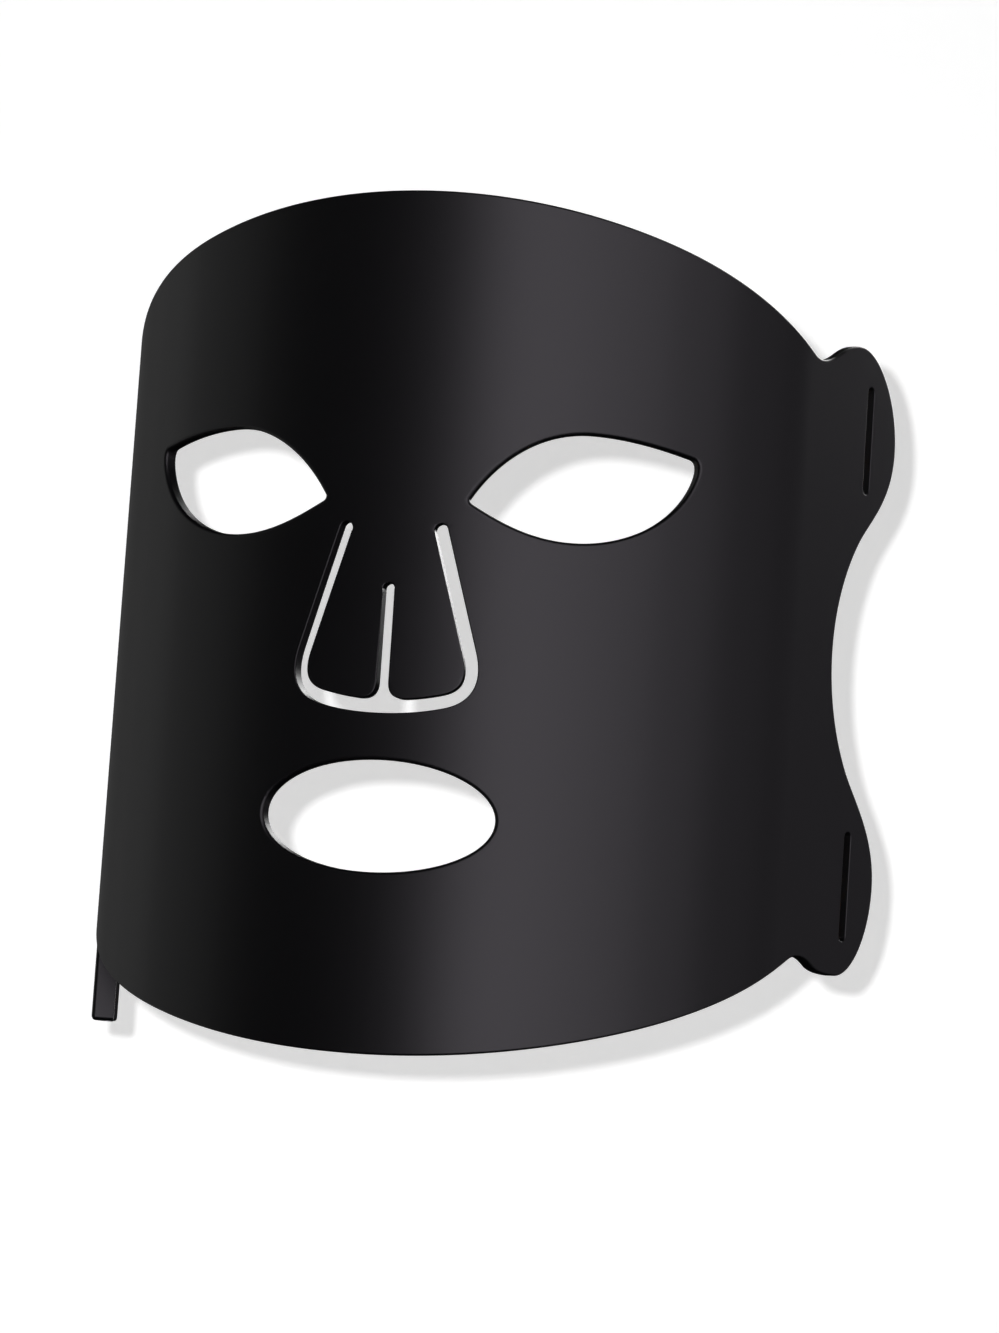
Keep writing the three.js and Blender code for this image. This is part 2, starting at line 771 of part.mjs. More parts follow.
const partingDepth = inletBack - inletLidThickness - gap;
const roomFront = inletFront + inletWall;
const socketDepth = (roomFront + partingDepth + gap) / 2;
const socketFoot = inletFoot - socketProud;

// A profile drawn in depth and height, made a block across the stub.
function inletBlock(profile) {
  const turn = new THREE.Matrix4().makeBasis(
    new THREE.Vector3(0, 1, 0),
    new THREE.Vector3(0, 0, 1),
    new THREE.Vector3(1, 0, 0),
  );
  return prism(profile, [], inletWidth).applyMatrix4(turn).translate(-inletWidth / 2, 0, 0);
}

// The stub's outline from below, with round corners; it trims the housing and the lid.
function inletTrim() {
  const half = inletWidth / 2;
  const corner = inletCorner;
  const path = new THREE.Path();
  path.moveTo(half, inletFootFront + corner);
  path.lineTo(half, inletBack - corner);
  path.absarc(half - corner, inletBack - corner, corner, 0, Math.PI / 2, false);
  path.absarc(corner - half, inletBack - corner, corner, Math.PI / 2, Math.PI, false);
  path.absarc(corner - half, inletFootFront + corner, corner, Math.PI, 1.5 * Math.PI, false);
  path.absarc(half - corner, inletFootFront + corner, corner, 1.5 * Math.PI, 2 * Math.PI, false);
  const loop = withoutRepeats(path.getPoints(cornerSteps));
  const height = inletTop - inletFoot + 2 * overrun;
  return solidFrom(prism(loop, [], height).translate(0, 0, inletFoot - overrun));
}

function housingSolid() {
  const path = new THREE.Path();
  path.moveTo(inletFootFront, inletFoot + inletCorner);
  path.quadraticCurveTo(inletFootFront, inletFoot, inletFootFront + inletCorner, inletFoot);
  path.lineTo(partingDepth, inletFoot);
  path.lineTo(partingDepth, inletLidTop + gap);
  path.lineTo(inletBack, inletLidTop + gap);
  path.lineTo(inletBack, inletShoulderTop);
  path.lineTo(sheetThickness, inletTop);
  path.lineTo(inletFront, inletTop);
  path.lineTo(inletFront, inletStep);
  path.lineTo(inletFootFront, inletStep);
  const block = solidFrom(inletBlock(path.getPoints(cornerSteps)));
  const roomSide = inletWidth / 2 - inletWall;
  const room = boxBetween(
    [-roomSide, roomFront, inletFoot + inletWall],
    [roomSide, partingDepth + overrun, inletLidTop - inletWall],
  );
  const tailWindow = boxBetween(
    [tailReach - inletWidth / 2 - gap, inletFront - overrun, tailHeight - tailWidth / 2 - gap],
    [inletWidth / 2 + overrun, roomFront + gap, tailHeight + tailWidth / 2 + gap],
  );
  return block
    .intersect(inletTrim())
    .subtract(solidFrom(room))
    .subtract(solidFrom(socketMouth(gap)))
    .subtract(solidFrom(tailWindow));
}

// The socket's oval outline, x along the sheet and y in depth, grown by a clearance.
function socketOval(clearance) {
  const radius = socketHeight / 2 + clearance;
  const straight = (socketWidth - socketHeight) / 2;
  const path = new THREE.Path();
  path.absarc(straight, 0, radius, -Math.PI / 2, Math.PI / 2, false);
  path.absarc(-straight, 0, radius, Math.PI / 2, (3 * Math.PI) / 2, false);
  return withoutRepeats(path.getPoints(cornerSteps));
}

// Makes a block upwards from a height, from an outline in x and depth about the socket's middle.
function socketBlock(loop, holes, foot, length) {
  return prism(loop, holes, length).translate(0, socketDepth, foot);
}

// The socket's way out through the foot of the stub, which the lid closes.
function socketMouth(clearance) {
  const half = socketWidth / 2 + clearance;
  const open = partingDepth - socketDepth + overrun;
  const lower = socketOval(clearance).filter((p) => p.y < -gap);
  const loop = [new THREE.Vector2(half, open), new THREE.Vector2(-half, open), ...sorted(lower)];
  return socketBlock(loop, [], inletFoot - overrun, overrun + inletWall + overrun);
}

function sorted(points) {
  return [...points].sort((a, b) => a.x - b.x);
}

function lidSolid() {
  const path = new THREE.Path();
  path.moveTo(partingDepth + gap, inletFoot);
  path.lineTo(inletBack - inletLidThickness / 2, inletFoot);
  path.quadraticCurveTo(inletBack, inletFoot, inletBack, inletFoot + inletCorner);
  path.lineTo(inletBack, inletLidTop);
  path.lineTo(partingDepth + gap, inletLidTop);
  return solidFrom(inletBlock(path.getPoints(cornerSteps))).intersect(inletTrim());
}

function socketGeometry() {
  return socketBlock(socketOval(0), [socketOval(-socketWall)], socketFoot, socketLength);
}

function tongueSolid() {
  const top = socketFoot + socketLength;
  const block = socketBlock(
    socketOval(-socketWall - gap),
    [],
    top - tongueBlockLength,
    tongueBlockLength,
  );
  const blade = boxBetween(
    [-tongueWidth / 2, socketDepth - tongueThickness / 2, top - tongueBlockLength - tongueLength],
    [tongueWidth / 2, socketDepth + tongueThickness / 2, top - tongueBlockLength / 2],
  );
  return solidFrom(block).add(solidFrom(blade));
}

function boardGeometry() {
  const foot = socketFoot + socketLength + gap;
  return boxBetween(
    [-boardWidth / 2, roomFront + gap, foot],
    [boardWidth / 2, roomFront + gap + boardThickness, foot + boardLength],
  );
}

// The assembly

const mask = new THREE.Group();
const creaseAngle = Math.PI / 6;

function addPiece(name, geometry, material, parent = mask) {
  const mesh = new THREE.Mesh(toCreasedNormals(geometry, creaseAngle), material);
  mesh.name = name;
  parent.add(mesh);
  return mesh;
}

addPiece("cover", geometryFrom(coverSolid()), siliconeBlack);
addPiece("nose_flap_left", geometryFrom(flapSolid(-1)), siliconeBlack);
addPiece("nose_flap_right", geometryFrom(flapSolid(1)), siliconeBlack);
addPiece("circuit", geometryFrom(circuitSolid()), polyimide);
addPiece("liner", geometryFrom(linerSolid()), siliconeClear);

const led = ledGeometry();
places.forEach((place, i) => {
  const { angle } = sectionAt(place.x);
  const [x, y] = pointAt(place.x, linerFront);
  const mesh = addPiece(`led_${String(i + 1).padStart(2, "0")}`, led, ledWhite);
  mesh.position.set(x, y, place.y);
  mesh.rotation.z = angle;
});

const inlet = new THREE.Group();
const inletPlace = sectionAt(-inletAcross);
inlet.position.set(inletPlace.x, inletPlace.y, 0);
inlet.rotation.z = inletPlace.angle;
mask.add(inlet);
addPiece("inlet_housing", geometryFrom(housingSolid()), siliconeBlack, inlet);
addPiece("inlet_lid", geometryFrom(lidSolid()), siliconeBlack, inlet);
addPiece("inlet_board", boardGeometry(), boardGreen, inlet);
addPiece("inlet_socket", socketGeometry(), steel, inlet);
addPiece("inlet_tongue", geometryFrom(tongueSolid()), plasticBlack, inlet);

export default mask;
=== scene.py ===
import json
import math
import bmesh
import bpy
from mathutils import Matrix, Vector
from mathutils.geometry import interpolate_bezier

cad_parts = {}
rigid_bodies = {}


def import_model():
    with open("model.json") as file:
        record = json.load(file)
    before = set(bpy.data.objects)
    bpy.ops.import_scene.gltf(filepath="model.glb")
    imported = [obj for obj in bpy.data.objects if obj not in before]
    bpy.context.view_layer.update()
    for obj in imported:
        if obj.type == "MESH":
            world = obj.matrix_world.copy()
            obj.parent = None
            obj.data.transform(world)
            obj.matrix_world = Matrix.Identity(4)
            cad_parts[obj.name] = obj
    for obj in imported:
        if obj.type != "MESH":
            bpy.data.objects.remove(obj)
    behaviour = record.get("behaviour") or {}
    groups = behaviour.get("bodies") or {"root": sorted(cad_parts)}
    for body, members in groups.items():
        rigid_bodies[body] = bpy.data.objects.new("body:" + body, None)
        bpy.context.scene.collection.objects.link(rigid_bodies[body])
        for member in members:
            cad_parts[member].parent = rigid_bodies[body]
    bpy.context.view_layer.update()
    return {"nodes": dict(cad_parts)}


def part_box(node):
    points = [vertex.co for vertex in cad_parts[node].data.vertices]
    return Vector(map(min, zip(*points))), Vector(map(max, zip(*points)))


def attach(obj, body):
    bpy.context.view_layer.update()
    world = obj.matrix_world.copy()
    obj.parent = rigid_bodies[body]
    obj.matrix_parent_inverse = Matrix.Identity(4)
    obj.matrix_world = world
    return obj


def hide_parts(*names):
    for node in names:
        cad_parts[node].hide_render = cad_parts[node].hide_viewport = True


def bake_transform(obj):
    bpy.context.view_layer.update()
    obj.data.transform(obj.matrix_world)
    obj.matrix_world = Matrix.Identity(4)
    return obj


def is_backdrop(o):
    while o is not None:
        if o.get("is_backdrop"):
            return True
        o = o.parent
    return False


# An LED face mask: a black silicone cover with two nose flaps, a milky silicone liner with a window over
# each LED, a flexible circuit between them, and the stub that the lead plugs into.
# Sheet sizes are millimetres on the flat pattern: across, height, and depth from the front face back.

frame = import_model()
nodes = frame["nodes"]
mm = 0.001

sameWithin = 1e-3  # two sizes are one, in millimetres
cutWithin = 1e-4  # a cut takes in points this near to it
fineStep = 0.3  # spacing of points on small round ends


# Colours, nodes and materials

def colourOf(code):
    channels = [int(code[i:i + 2], 16) / 255 for i in (1, 3, 5)]
    linear = [c / 12.92 if c <= 0.04045 else ((c + 0.055) / 1.055) ** 2.4 for c in channels]
    return (*linear, 1)


def addNode(tree, kind, settings, links):
    node = tree.nodes.new(kind)
    for name, value in settings.items():
        if isinstance(name, int) or name in node.inputs:
            node.inputs[name].default_value = value
        else:
            setattr(node, name, value)
    for name, source in links.items():
        tree.links.new(source, node.inputs[name])
    return node


def newMaterial(name, settings):
    material = bpy.data.materials.new(name)
    material.use_nodes = True
    tree = material.node_tree
    shader = tree.nodes["Principled BSDF"]
    for key, value in settings.items():
        shader.inputs[key].default_value = value
    return material, tree, shader


# Liquid silicone rubber from a bead-blasted mould: nearly black, with a satin skin and a fine matt grain.
siliconeLook = {
    "colour": "#050506", "dust": "#080809", "roughness": 0.38, "roughnessSpread": 0.04,
    "grain": 0.35, "grainDepth": 0.004, "swell": 40, "ior": 1.41,
}


def makeSilicone():
    look = siliconeLook
    material, tree, shader = newMaterial("siliconeRubber", {"IOR": look["ior"]})
    place = addNode(tree, "ShaderNodeTexCoord", {}, {}).outputs["Object"]
    swell = addNode(
        tree, "ShaderNodeTexNoise", {"Scale": 1 / (look["swell"] * mm), "Detail": 2}, {"Vector": place},
    )
    grain = addNode(
        tree, "ShaderNodeTexNoise", {"Scale": 1 / (look["grain"] * mm), "Detail": 3}, {"Vector": place},
    )
    tone = addNode(
        tree, "ShaderNodeMix",
        {"data_type": "RGBA", 6: colourOf(look["colour"]), 7: colourOf(look["dust"])},
        {0: swell.outputs["Fac"]},
    )
    low = look["roughness"] - look["roughnessSpread"]
    high = look["roughness"] + look["roughnessSpread"]
    rough = addNode(
        tree, "ShaderNodeMapRange", {"To Min": low, "To Max": high}, {"Value": grain.outputs["Fac"]},
    )
    bump = addNode(
        tree, "ShaderNodeBump", {"Distance": look["grainDepth"] * mm}, {"Height": grain.outputs["Fac"]},
    )
    tree.links.new(tone.outputs[2], shader.inputs["Base Color"])
    tree.links.new(rough.outputs["Result"], shader.inputs["Roughness"])
    tree.links.new(bump.outputs["Normal"], shader.inputs["Normal"])
    return material


# The same rubber without pigment: milky, so that the LEDs and the amber circuit show through it softly.
linerLook = {
    "colour": "#f4f1ee", "haze": "#e8e3de", "roughness": 0.17, "spread": 0.04, "cloud": 18, "ior": 1.41,
    "transmission": 0.92,
}


def makeLinerSilicone():
    look = linerLook
    material, tree, shader = newMaterial(
        "milkySilicone", {"IOR": look["ior"], "Transmission Weight": look["transmission"]},
    )
    place = addNode(tree, "ShaderNodeTexCoord", {}, {}).outputs["Object"]
    cloud = addNode(
        tree, "ShaderNodeTexNoise", {"Scale": 1 / (look["cloud"] * mm), "Detail": 3}, {"Vector": place},
    )
    tone = addNode(
        tree, "ShaderNodeMix",
        {"data_type": "RGBA", 6: colourOf(look["colour"]), 7: colourOf(look["haze"])},
        {0: cloud.outputs["Fac"]},
    )
    rough = addNode(
        tree, "ShaderNodeMapRange",
        {"To Min": look["roughness"] - look["spread"], "To Max": look["roughness"] + look["spread"]},
        {"Value": cloud.outputs["Fac"]},
    )
    tree.links.new(tone.outputs[2], shader.inputs["Base Color"])
    tree.links.new(rough.outputs["Result"], shader.inputs["Roughness"])
    return material


# Smaller pieces: moulded plastics, polyimide film, steel and board laminate, each with a light mottle.
pieceLooks = {
    "polyimideFilm": {  # amber film
        "colour": "#cf8a34", "second": "#bd7826", "size": 2.5, "roughness": 0.32, "metallic": 0,
    },
    "ledBody": {  # white reflector resin
        "colour": "#f1ede0", "second": "#e6e0d0", "size": 0.8, "roughness": 0.45, "metallic": 0,
    },
    "leadSilver": {  # tinned terminals
        "colour": "#d8d6d0", "second": "#c4c1ba", "size": 0.5, "roughness": 0.3, "metallic": 1,
    },
    "ledDie": {  # a red chip
        "colour": "#8c1f14", "second": "#6e130c", "size": 0.2, "roughness": 0.3, "metallic": 0,
    },
    "plugSteel": {  # drawn and plated shell
        "colour": "#b9bbbd", "second": "#a3a5a8", "size": 0.4, "roughness": 0.28, "metallic": 1,
    },
    "boardLaminate": {  # green solder mask
        "colour": "#1f5a3a", "second": "#184a30", "size": 1.2, "roughness": 0.4, "metallic": 0,
    },
    "contactPlastic": {  # moulded tongue
        "colour": "#101012", "second": "#18181a", "size": 0.5, "roughness": 0.5, "metallic": 0,
    },
}
roughnessShare = 0.15  # how far a finish strays from its roughness


def makePlain(name):
    look = pieceLooks[name]
    material, tree, shader = newMaterial(name, {"Metallic": look["metallic"]})
    place = addNode(tree, "ShaderNodeTexCoord", {}, {}).outputs["Object"]
    mottle = addNode(
        tree, "ShaderNodeTexNoise", {"Scale": 1 / (look["size"] * mm), "Detail": 3}, {"Vector": place},
    )
    tone = addNode(
        tree, "ShaderNodeMix",
        {"data_type": "RGBA", 6: colourOf(look["colour"]), 7: colourOf(look["second"])},
        {0: mottle.outputs["Fac"]},
    )
    low = look["roughness"] * (1 - roughnessShare)
    high = look["roughness"] * (1 + roughnessShare)
    rough = addNode(
        tree, "ShaderNodeMapRange", {"To Min": low, "To Max": high}, {"Value": mottle.outputs["Fac"]},
    )
    tree.links.new(tone.outputs[2], shader.inputs["Base Color"])
    tree.links.new(rough.outputs["Result"], shader.inputs["Roughness"])
    return material


siliconeRubber = makeSilicone()
milkySilicone = makeLinerSilicone()
plain = {name: makePlain(name) for name in pieceLooks}
print("materials made")


# The bend of the sheet: cheeks, then temples, then flat wings

bend = {"cheekRadius": 115, "cheekLength": 62, "templeRadius": 69, "templeLength": 45, "step": 1.5}


def sheetPlace(across, depth, height):
    length = abs(across)
    cheek = min(length, bend["cheekLength"]) / bend["cheekRadius"]
    turned = cheek + min(max(length - bend["cheekLength"], 0), bend["templeLength"]) / bend["templeRadius"]
    wing = max(length - bend["cheekLength"] - bend["templeLength"], 0)
    x = bend["cheekRadius"] * math.sin(cheek) + wing * math.cos(turned)
    y = bend["cheekRadius"] * (1 - math.cos(cheek)) + wing * math.sin(turned)
    x += bend["templeRadius"] * (math.sin(turned) - math.sin(cheek)) - depth * math.sin(turned)
    y += bend["templeRadius"] * (math.cos(cheek) - math.cos(turned)) + depth * math.cos(turned)
    return Vector((math.copysign(x, across), y, height)) * mm


# Outlines on the flat pattern

def curveThrough(start, pieces, step=1.0, fewest=5):
    # Each piece has one point for a line, two for a quadratic curve and three for a cubic one.
    points = [Vector(start)]
    for piece in pieces:
        here = points[-1]
        end = Vector(piece[-1])
        if len(piece) == 1:
            points.append(end)
            continue
        first = Vector(piece[0])
        second = Vector(piece[1])
        if len(piece) == 2:
            second = end + (first - end) * 2 / 3
            first = here + (first - here) * 2 / 3
        reach = (first - here).length + (second - first).length + (end - second).length
        count = max(int(reach / step), fewest) + 1
        points += [p.to_2d() for p in interpolate_bezier(here, first, second, end, count)][1:]
    return points


def arcPoints(centre, radius, start, end, step=1.5, fewest=6):
    count = max(int(abs(end - start) * radius / step), fewest)
    angles = [start + (end - start) * i / count for i in range(count + 1)]
    return [Vector((centre[0] + radius * math.cos(a), centre[1] + radius * math.sin(a))) for a in angles]


def mirrored(points):
    return [Vector((-p.x, p.y)) for p in reversed(points)]


def cleanLoop(points):
    # Leaves out points that lie on the one before.
    shortest = 0.02
    return [p for i, p in enumerate(points) if (p - points[i - 1]).length > shortest]


def signedArea(loop):
    return sum(loop[i - 1].cross(p) for i, p in enumerate(loop)) / 2


def outwardOf(loop):
    # The direction out of the loop at each of its points, longer at a sharp corner.
    turn = 1 if signedArea(loop) > 0 else -1
    leastShare = 0.6
    directions = []
    for i, point in enumerate(loop):
        before = (point - loop[i - 1]).normalized()
        after = (loop[(i + 1) % len(loop)] - point).normalized()
        side = Vector((before.y + after.y, -before.x - after.x)).normalized() * turn
        reach = max(side.dot(Vector((before.y, -before.x)) * turn), leastShare)
        directions.append(side / reach)
    return directions


def grown(loop, distance):
    return [point + out * distance for point, out in zip(loop, outwardOf(loop))]


# The outline is a brow arc and a chin arc, and on each side two strap tabs with a waist between them.
coverSizes = {
    "crown": 102.9, "browRadius": 218, "chin": 102.8, "chinRadius": 226,
    "waistAcross": 123, "waistHeight": 2.5, "waistRadius": 50, "waistHalfHeight": 28,
    "tipPull": 13, "waistPull": 8, "slotLength": 26.8, "slotWidth": 2.8, "slotInset": 12.2,
    "thickness": 3, "skin": 1.1, "lip": 0.6, "eyeLip": 0.9, "rim": 3.2, "trayHalfWidth": 110.3,
    "trayCorner": 9.3,
}
# Second numbers and slot drops are measured down from the crown, or up from the chin for the lower tab.
upperTab = {
    "side": 1, "reach": 102.9, "arcEnd": 108.5, "notch": (112.5, 31.1), "shoulder": (119.5, 26.5),
    "crest": (128.5, 23.4), "pull": 0.5, "tip": (145.3, 46.9), "slotDrop": 46.2,
}
lowerTab = {
    "side": -1, "reach": 102.8, "arcEnd": 111.5, "notch": (116.2, 32.3), "shoulder": (121.7, 28.8),
    "crest": (132, 27.1), "pull": 0.52, "tip": (146.3, 49.8), "slotDrop": 49.1,
}


def onTab(tab, name):
    across, drop = tab[name]
    return Vector((across, tab["side"] * (tab["reach"] - drop)))


def tabEdge(tab):
    notch = onTab(tab, "notch")
    shoulder = onTab(tab, "shoulder")
    crest = onTab(tab, "crest")
    tip = onTab(tab, "tip")
    rise = (shoulder.y - notch.y) / (shoulder.x - notch.x)
    crestStart = Vector((shoulder.x + (crest.y - shoulder.y) / rise, crest.y))
    sizes = coverSizes
    waistAngle = math.asin(sizes["waistHalfHeight"] / sizes["waistRadius"])
    waistEnd = Vector((
        sizes["waistAcross"] + sizes["waistRadius"] * (1 - math.cos(waistAngle)),
        sizes["waistHeight"] + tab["side"] * sizes["waistHalfHeight"],
    ))
    run = Vector((-math.sin(waistAngle), -tab["side"] * math.cos(waistAngle)))
    arcRadius = sizes["browRadius"] if tab["side"] > 0 else sizes["chinRadius"]
    arcMiddle = tab["side"] * (tab["reach"] - arcRadius)
    arcEnd = math.acos(tab["arcEnd"] / arcRadius)
    arc = arcPoints((0, arcMiddle), arcRadius, tab["side"] * math.pi / 2, tab["side"] * arcEnd)
    edge = curveThrough(arc[-1], [
        (notch, shoulder),
        (crestStart, crest),
        (
            Vector((crest.x + tab["pull"] * (tip.x - crest.x), crest.y)),
            Vector((tip.x, tip.y + tab["pull"] * (crest.y - tip.y))),
            tip,
        ),
        (tip - Vector((0, tab["side"] * sizes["tipPull"])), waistEnd - run * sizes["waistPull"], waistEnd),
    ])
    centre = (sizes["waistAcross"] + sizes["waistRadius"], sizes["waistHeight"])
    waist = arcPoints(centre, sizes["waistRadius"], math.pi - tab["side"] * waistAngle, math.pi)
    return arc + edge + waist


def coverOutline():
    half = tabEdge(upperTab) + list(reversed(tabEdge(lowerTab)))
    return cleanLoop(half + mirrored(half))


def slotOutline(tab):
    across = tab["tip"][0] - coverSizes["slotInset"]
    height = tab["side"] * (tab["reach"] - tab["slotDrop"])
    radius = coverSizes["slotWidth"] / 2
    straight = coverSizes["slotLength"] / 2 - radius
    top = arcPoints((across, height + straight), radius, 0, math.pi, fineStep)
    return top + arcPoints((across, height - straight), radius, math.pi, 2 * math.pi, fineStep)


eyeSizes = {"inner": 17.9, "width": 55.7, "bottom": 20.1, "height": 26, "step": 0.8}
# Shares of the eye opening's width and height: where it starts, and then its curves.
eyeShares = [
    [(0.005, 0.35)],
    [(0.11, 0.708), (0.289, 1), (0.513, 1)],
    [(0.666, 1), (0.81, 0.942), (0.962, 0.873)],
    [(0.987, 0.858), (0.994, 0.804), (0.982, 0.712)],
    [(0.926, 0.323), (0.702, 0), (0.451, 0)],
    [(0.271, 0), (0.136, 0.15), (0.016, 0.296)],
    [(0.005, 0.312), (0.002, 0.33), (0.005, 0.35)],
]


def eyeOutline():
    sizes = eyeSizes
    placed = [
        [
            Vector((sizes["inner"] + x * sizes["width"], sizes["bottom"] + y * sizes["height"]))
            for x, y in piece
        ]
        for piece in eyeShares
    ]
    return cleanLoop(curveThrough(placed[0][0], placed[1:], sizes["step"]))


mouthSizes = {"halfWidth": 29.3, "halfHeight": 13.3, "drop": 46.9, "points": 120}


def mouthOutline():
    sizes = mouthSizes
    angles = [2 * math.pi * i / sizes["points"] for i in range(sizes["points"])]
    return [
        Vector((sizes["halfWidth"] * math.cos(a), sizes["halfHeight"] * math.sin(a) - sizes["drop"]))
        for a in angles
    ]


noseSizes = {
    "slitWidth": 3.2, "slitTop": (11.9, 21.1), "slitFoot": (20.7, -8.2), "corner": (23.2, -17.3),
    "base": (15, -19.3), "arc": (8, -21), "middleWidth": 2.9, "middleTop": 6.85, "flapCorner": 4,
    "endRise": 0.1, "step": 0.7, "cornerStep": 0.4,
}


def besideLine(line, distance):
    moved = []
    for i, point in enumerate(line):
        run = (line[min(i + 1, len(line) - 1)] - line[max(i - 1, 0)]).normalized()
        moved.append(point + Vector((-run.y, run.x)) * distance)
    return moved


noseLine = curveThrough(noseSizes["slitTop"], [
    (noseSizes["slitFoot"],),
    (noseSizes["corner"], noseSizes["base"]),
    (noseSizes["arc"], (0, noseSizes["arc"][1])),
], noseSizes["step"])
slitInner = besideLine(noseLine, -noseSizes["slitWidth"] / 2)
slitOuter = besideLine(noseLine, noseSizes["slitWidth"] / 2)
rootLow = Vector((noseSizes["middleWidth"] / 2, noseSizes["middleTop"]))
rootHigh = slitInner[0]


def slitEnd():
    # The round end of a side slit, which runs on a little past the flap's root.
    run = (noseLine[1] - noseLine[0]).normalized()
    end = math.atan2(run.x, -run.y)
    centre = noseLine[0] - run * noseSizes["endRise"]
    return arcPoints(centre, noseSizes["slitWidth"] / 2, end + math.pi, end, fineStep)


def noseOutline():
    top = arcPoints((0, noseSizes["middleTop"]), noseSizes["middleWidth"] / 2, math.pi / 2, 0, fineStep)
    half = [*top, rootHigh, *slitEnd(), *slitOuter]
    return cleanLoop(half + mirrored(half))


def noseClearing():
    half = slitEnd() + slitOuter
    return cleanLoop(half + mirrored(half))


def flapOutline():
    corner = noseSizes["flapCorner"]
    edge = [p for p in slitInner[1:] if p.x > rootLow.x + corner]
    foot = edge[-1].y
    turn = curveThrough(
        (rootLow.x + corner, foot), [((rootLow.x, foot), (rootLow.x, foot + corner))],
        noseSizes["cornerStep"],
    )
    return cleanLoop([rootLow, rootHigh, *edge, *turn])


def fieldOutline(halfWidth, margin, corner):
    sizes = coverSizes
    brow = sizes["browRadius"] - margin
    chin = sizes["chinRadius"] - margin
    browMiddle = sizes["crown"] - sizes["browRadius"]
    chinMiddle = sizes["chinRadius"] - sizes["chin"]
    end = halfWidth - corner
    top = browMiddle + math.sqrt(brow * brow - halfWidth * halfWidth)
    bottom = chinMiddle - math.sqrt(chin * chin - halfWidth * halfWidth)
    half = arcPoints((0, browMiddle), brow, math.pi / 2, math.acos(end / brow))
    half += curveThrough(half[-1], [((halfWidth, top), (halfWidth, top - corner))])
    low = arcPoints((0, chinMiddle), chin, -math.acos(end / chin), -math.pi / 2)
    half += curveThrough((halfWidth, bottom + corner), [((halfWidth, bottom), low[0])])
    half += low
    return cleanLoop(half + mirrored(half))


eyeLoop = eyeOutline()
eyeLoops = [eyeLoop, mirrored(eyeLoop)]
mouthLoop = mouthOutline()
noseLoop = noseOutline()
clearings = [*eyeLoops, mouthLoop, noseClearing()]
slotLoops = [
    loop for tab in (upperTab, lowerTab) for loop in (slotOutline(tab), mirrored(slotOutline(tab)))
]


# Sheets: a flat face between loops, walls with round lips, and then the bend

spotWithin = 0.05  # a wire has no lip where a flap joins it
squareLip = 0.001
lipSteps = 5


def addWire(bm, loop, depth, lip, into, plainSpots=()):
    # A closed wire, drawn in by its lip; the layer keeps which way its wall swells out again.
    away = bm.verts.layers.float_vector["away"]
    sign = -1 if into else 1
    verts = []
    for point, out in zip(loop, outwardOf(loop)):
        plainHere = any((point - spot).length < spotWithin for spot in plainSpots)
        swell = Vector((0, 0)) if plainHere else out * sign * lip
        place = point - swell
        vert = bm.verts.new((place.x, depth, place.y))
        vert[away] = (swell.x, 0, swell.y)
        verts.append(vert)
    return [bm.edges.new((verts[i - 1], verts[i])) for i in range(len(verts))]


def fillBetween(bm, edges):
    return bmesh.ops.triangle_fill(bm, use_beauty=True, use_dissolve=False, edges=edges)["geom"]


def extrudeTo(bm, edges, shift, depth):
    # Extrudes a wire: shift is how far it swells, as a share of its lip, and depth how far back it goes.
    away = bm.verts.layers.float_vector["away"]
    made = bmesh.ops.extrude_edge_only(bm, edges=edges)["geom"]
    for vert in [item for item in made if isinstance(item, bmesh.types.BMVert)]:
        vert.co += vert[away] * shift
        vert.co.y += depth
    return [item for item in made if isinstance(item, bmesh.types.BMEdge)]


def newSheet():
    bm = bmesh.new()
    bm.verts.layers.float_vector.new("away")
    return bm


def wallWithLips(bm, edges, lip, thickness, backLip):
    turns = [math.pi / 2 * i / lipSteps for i in range(lipSteps + 1)]
    for a, b in zip(turns, turns[1:]):
        edges = extrudeTo(bm, edges, math.sin(b) - math.sin(a), lip * (math.cos(a) - math.cos(b)))
    edges = extrudeTo(bm, edges, 0, thickness - lip - backLip)
    share = backLip / lip
    for a, b in zip(turns, turns[1:]):
        edges = extrudeTo(
            bm, edges, -share * (math.cos(a) - math.cos(b)), backLip * (math.sin(b) - math.sin(a)),
        )
    return edges


def cutAt(bm, place, normal, clear=False):
    bmesh.ops.bisect_plane(
        bm, geom=bm.verts[:] + bm.edges[:] + bm.faces[:], dist=cutWithin, plane_co=place,
        plane_no=normal, clear_inner=clear,
    )


def bendSheet(bm, step, extraCuts=()):
    reach = bend["cheekLength"] + bend["templeLength"]
    count = int(reach / step)
    lines = [reach * i / count for i in range(-count, count + 1)]
    for line in lines:
        cutAt(bm, (line, 0, 0), (1, 0, 0))
    for place, normal in extraCuts:
        cutAt(bm, place, normal)
    bmesh.ops.remove_doubles(bm, verts=bm.verts[:], dist=cutWithin)
    for vert in bm.verts:
        vert.co = sheetPlace(*vert.co)
    bmesh.ops.recalc_face_normals(bm, faces=bm.faces[:])


def finishPiece(bm, name, materials, piece=None, sharp=35):
    for face in bm.faces:
        face.smooth = True
    mesh = bpy.data.meshes.new(name)
    bm.to_mesh(mesh)
    bm.free()
    for material in materials if isinstance(materials, list) else [materials]:
        mesh.materials.append(material)
    if piece:
        piece.data = mesh
    else:
        piece = bpy.data.objects.new(name, mesh)
        bpy.context.scene.collection.objects.link(piece)
    mesh.set_sharp_from_angle(angle=math.radians(sharp))
    weigh = piece.modifiers.new("evenNormals", "WEIGHTED_NORMAL")
    weigh.keep_sharp = True
    return piece


# The cover

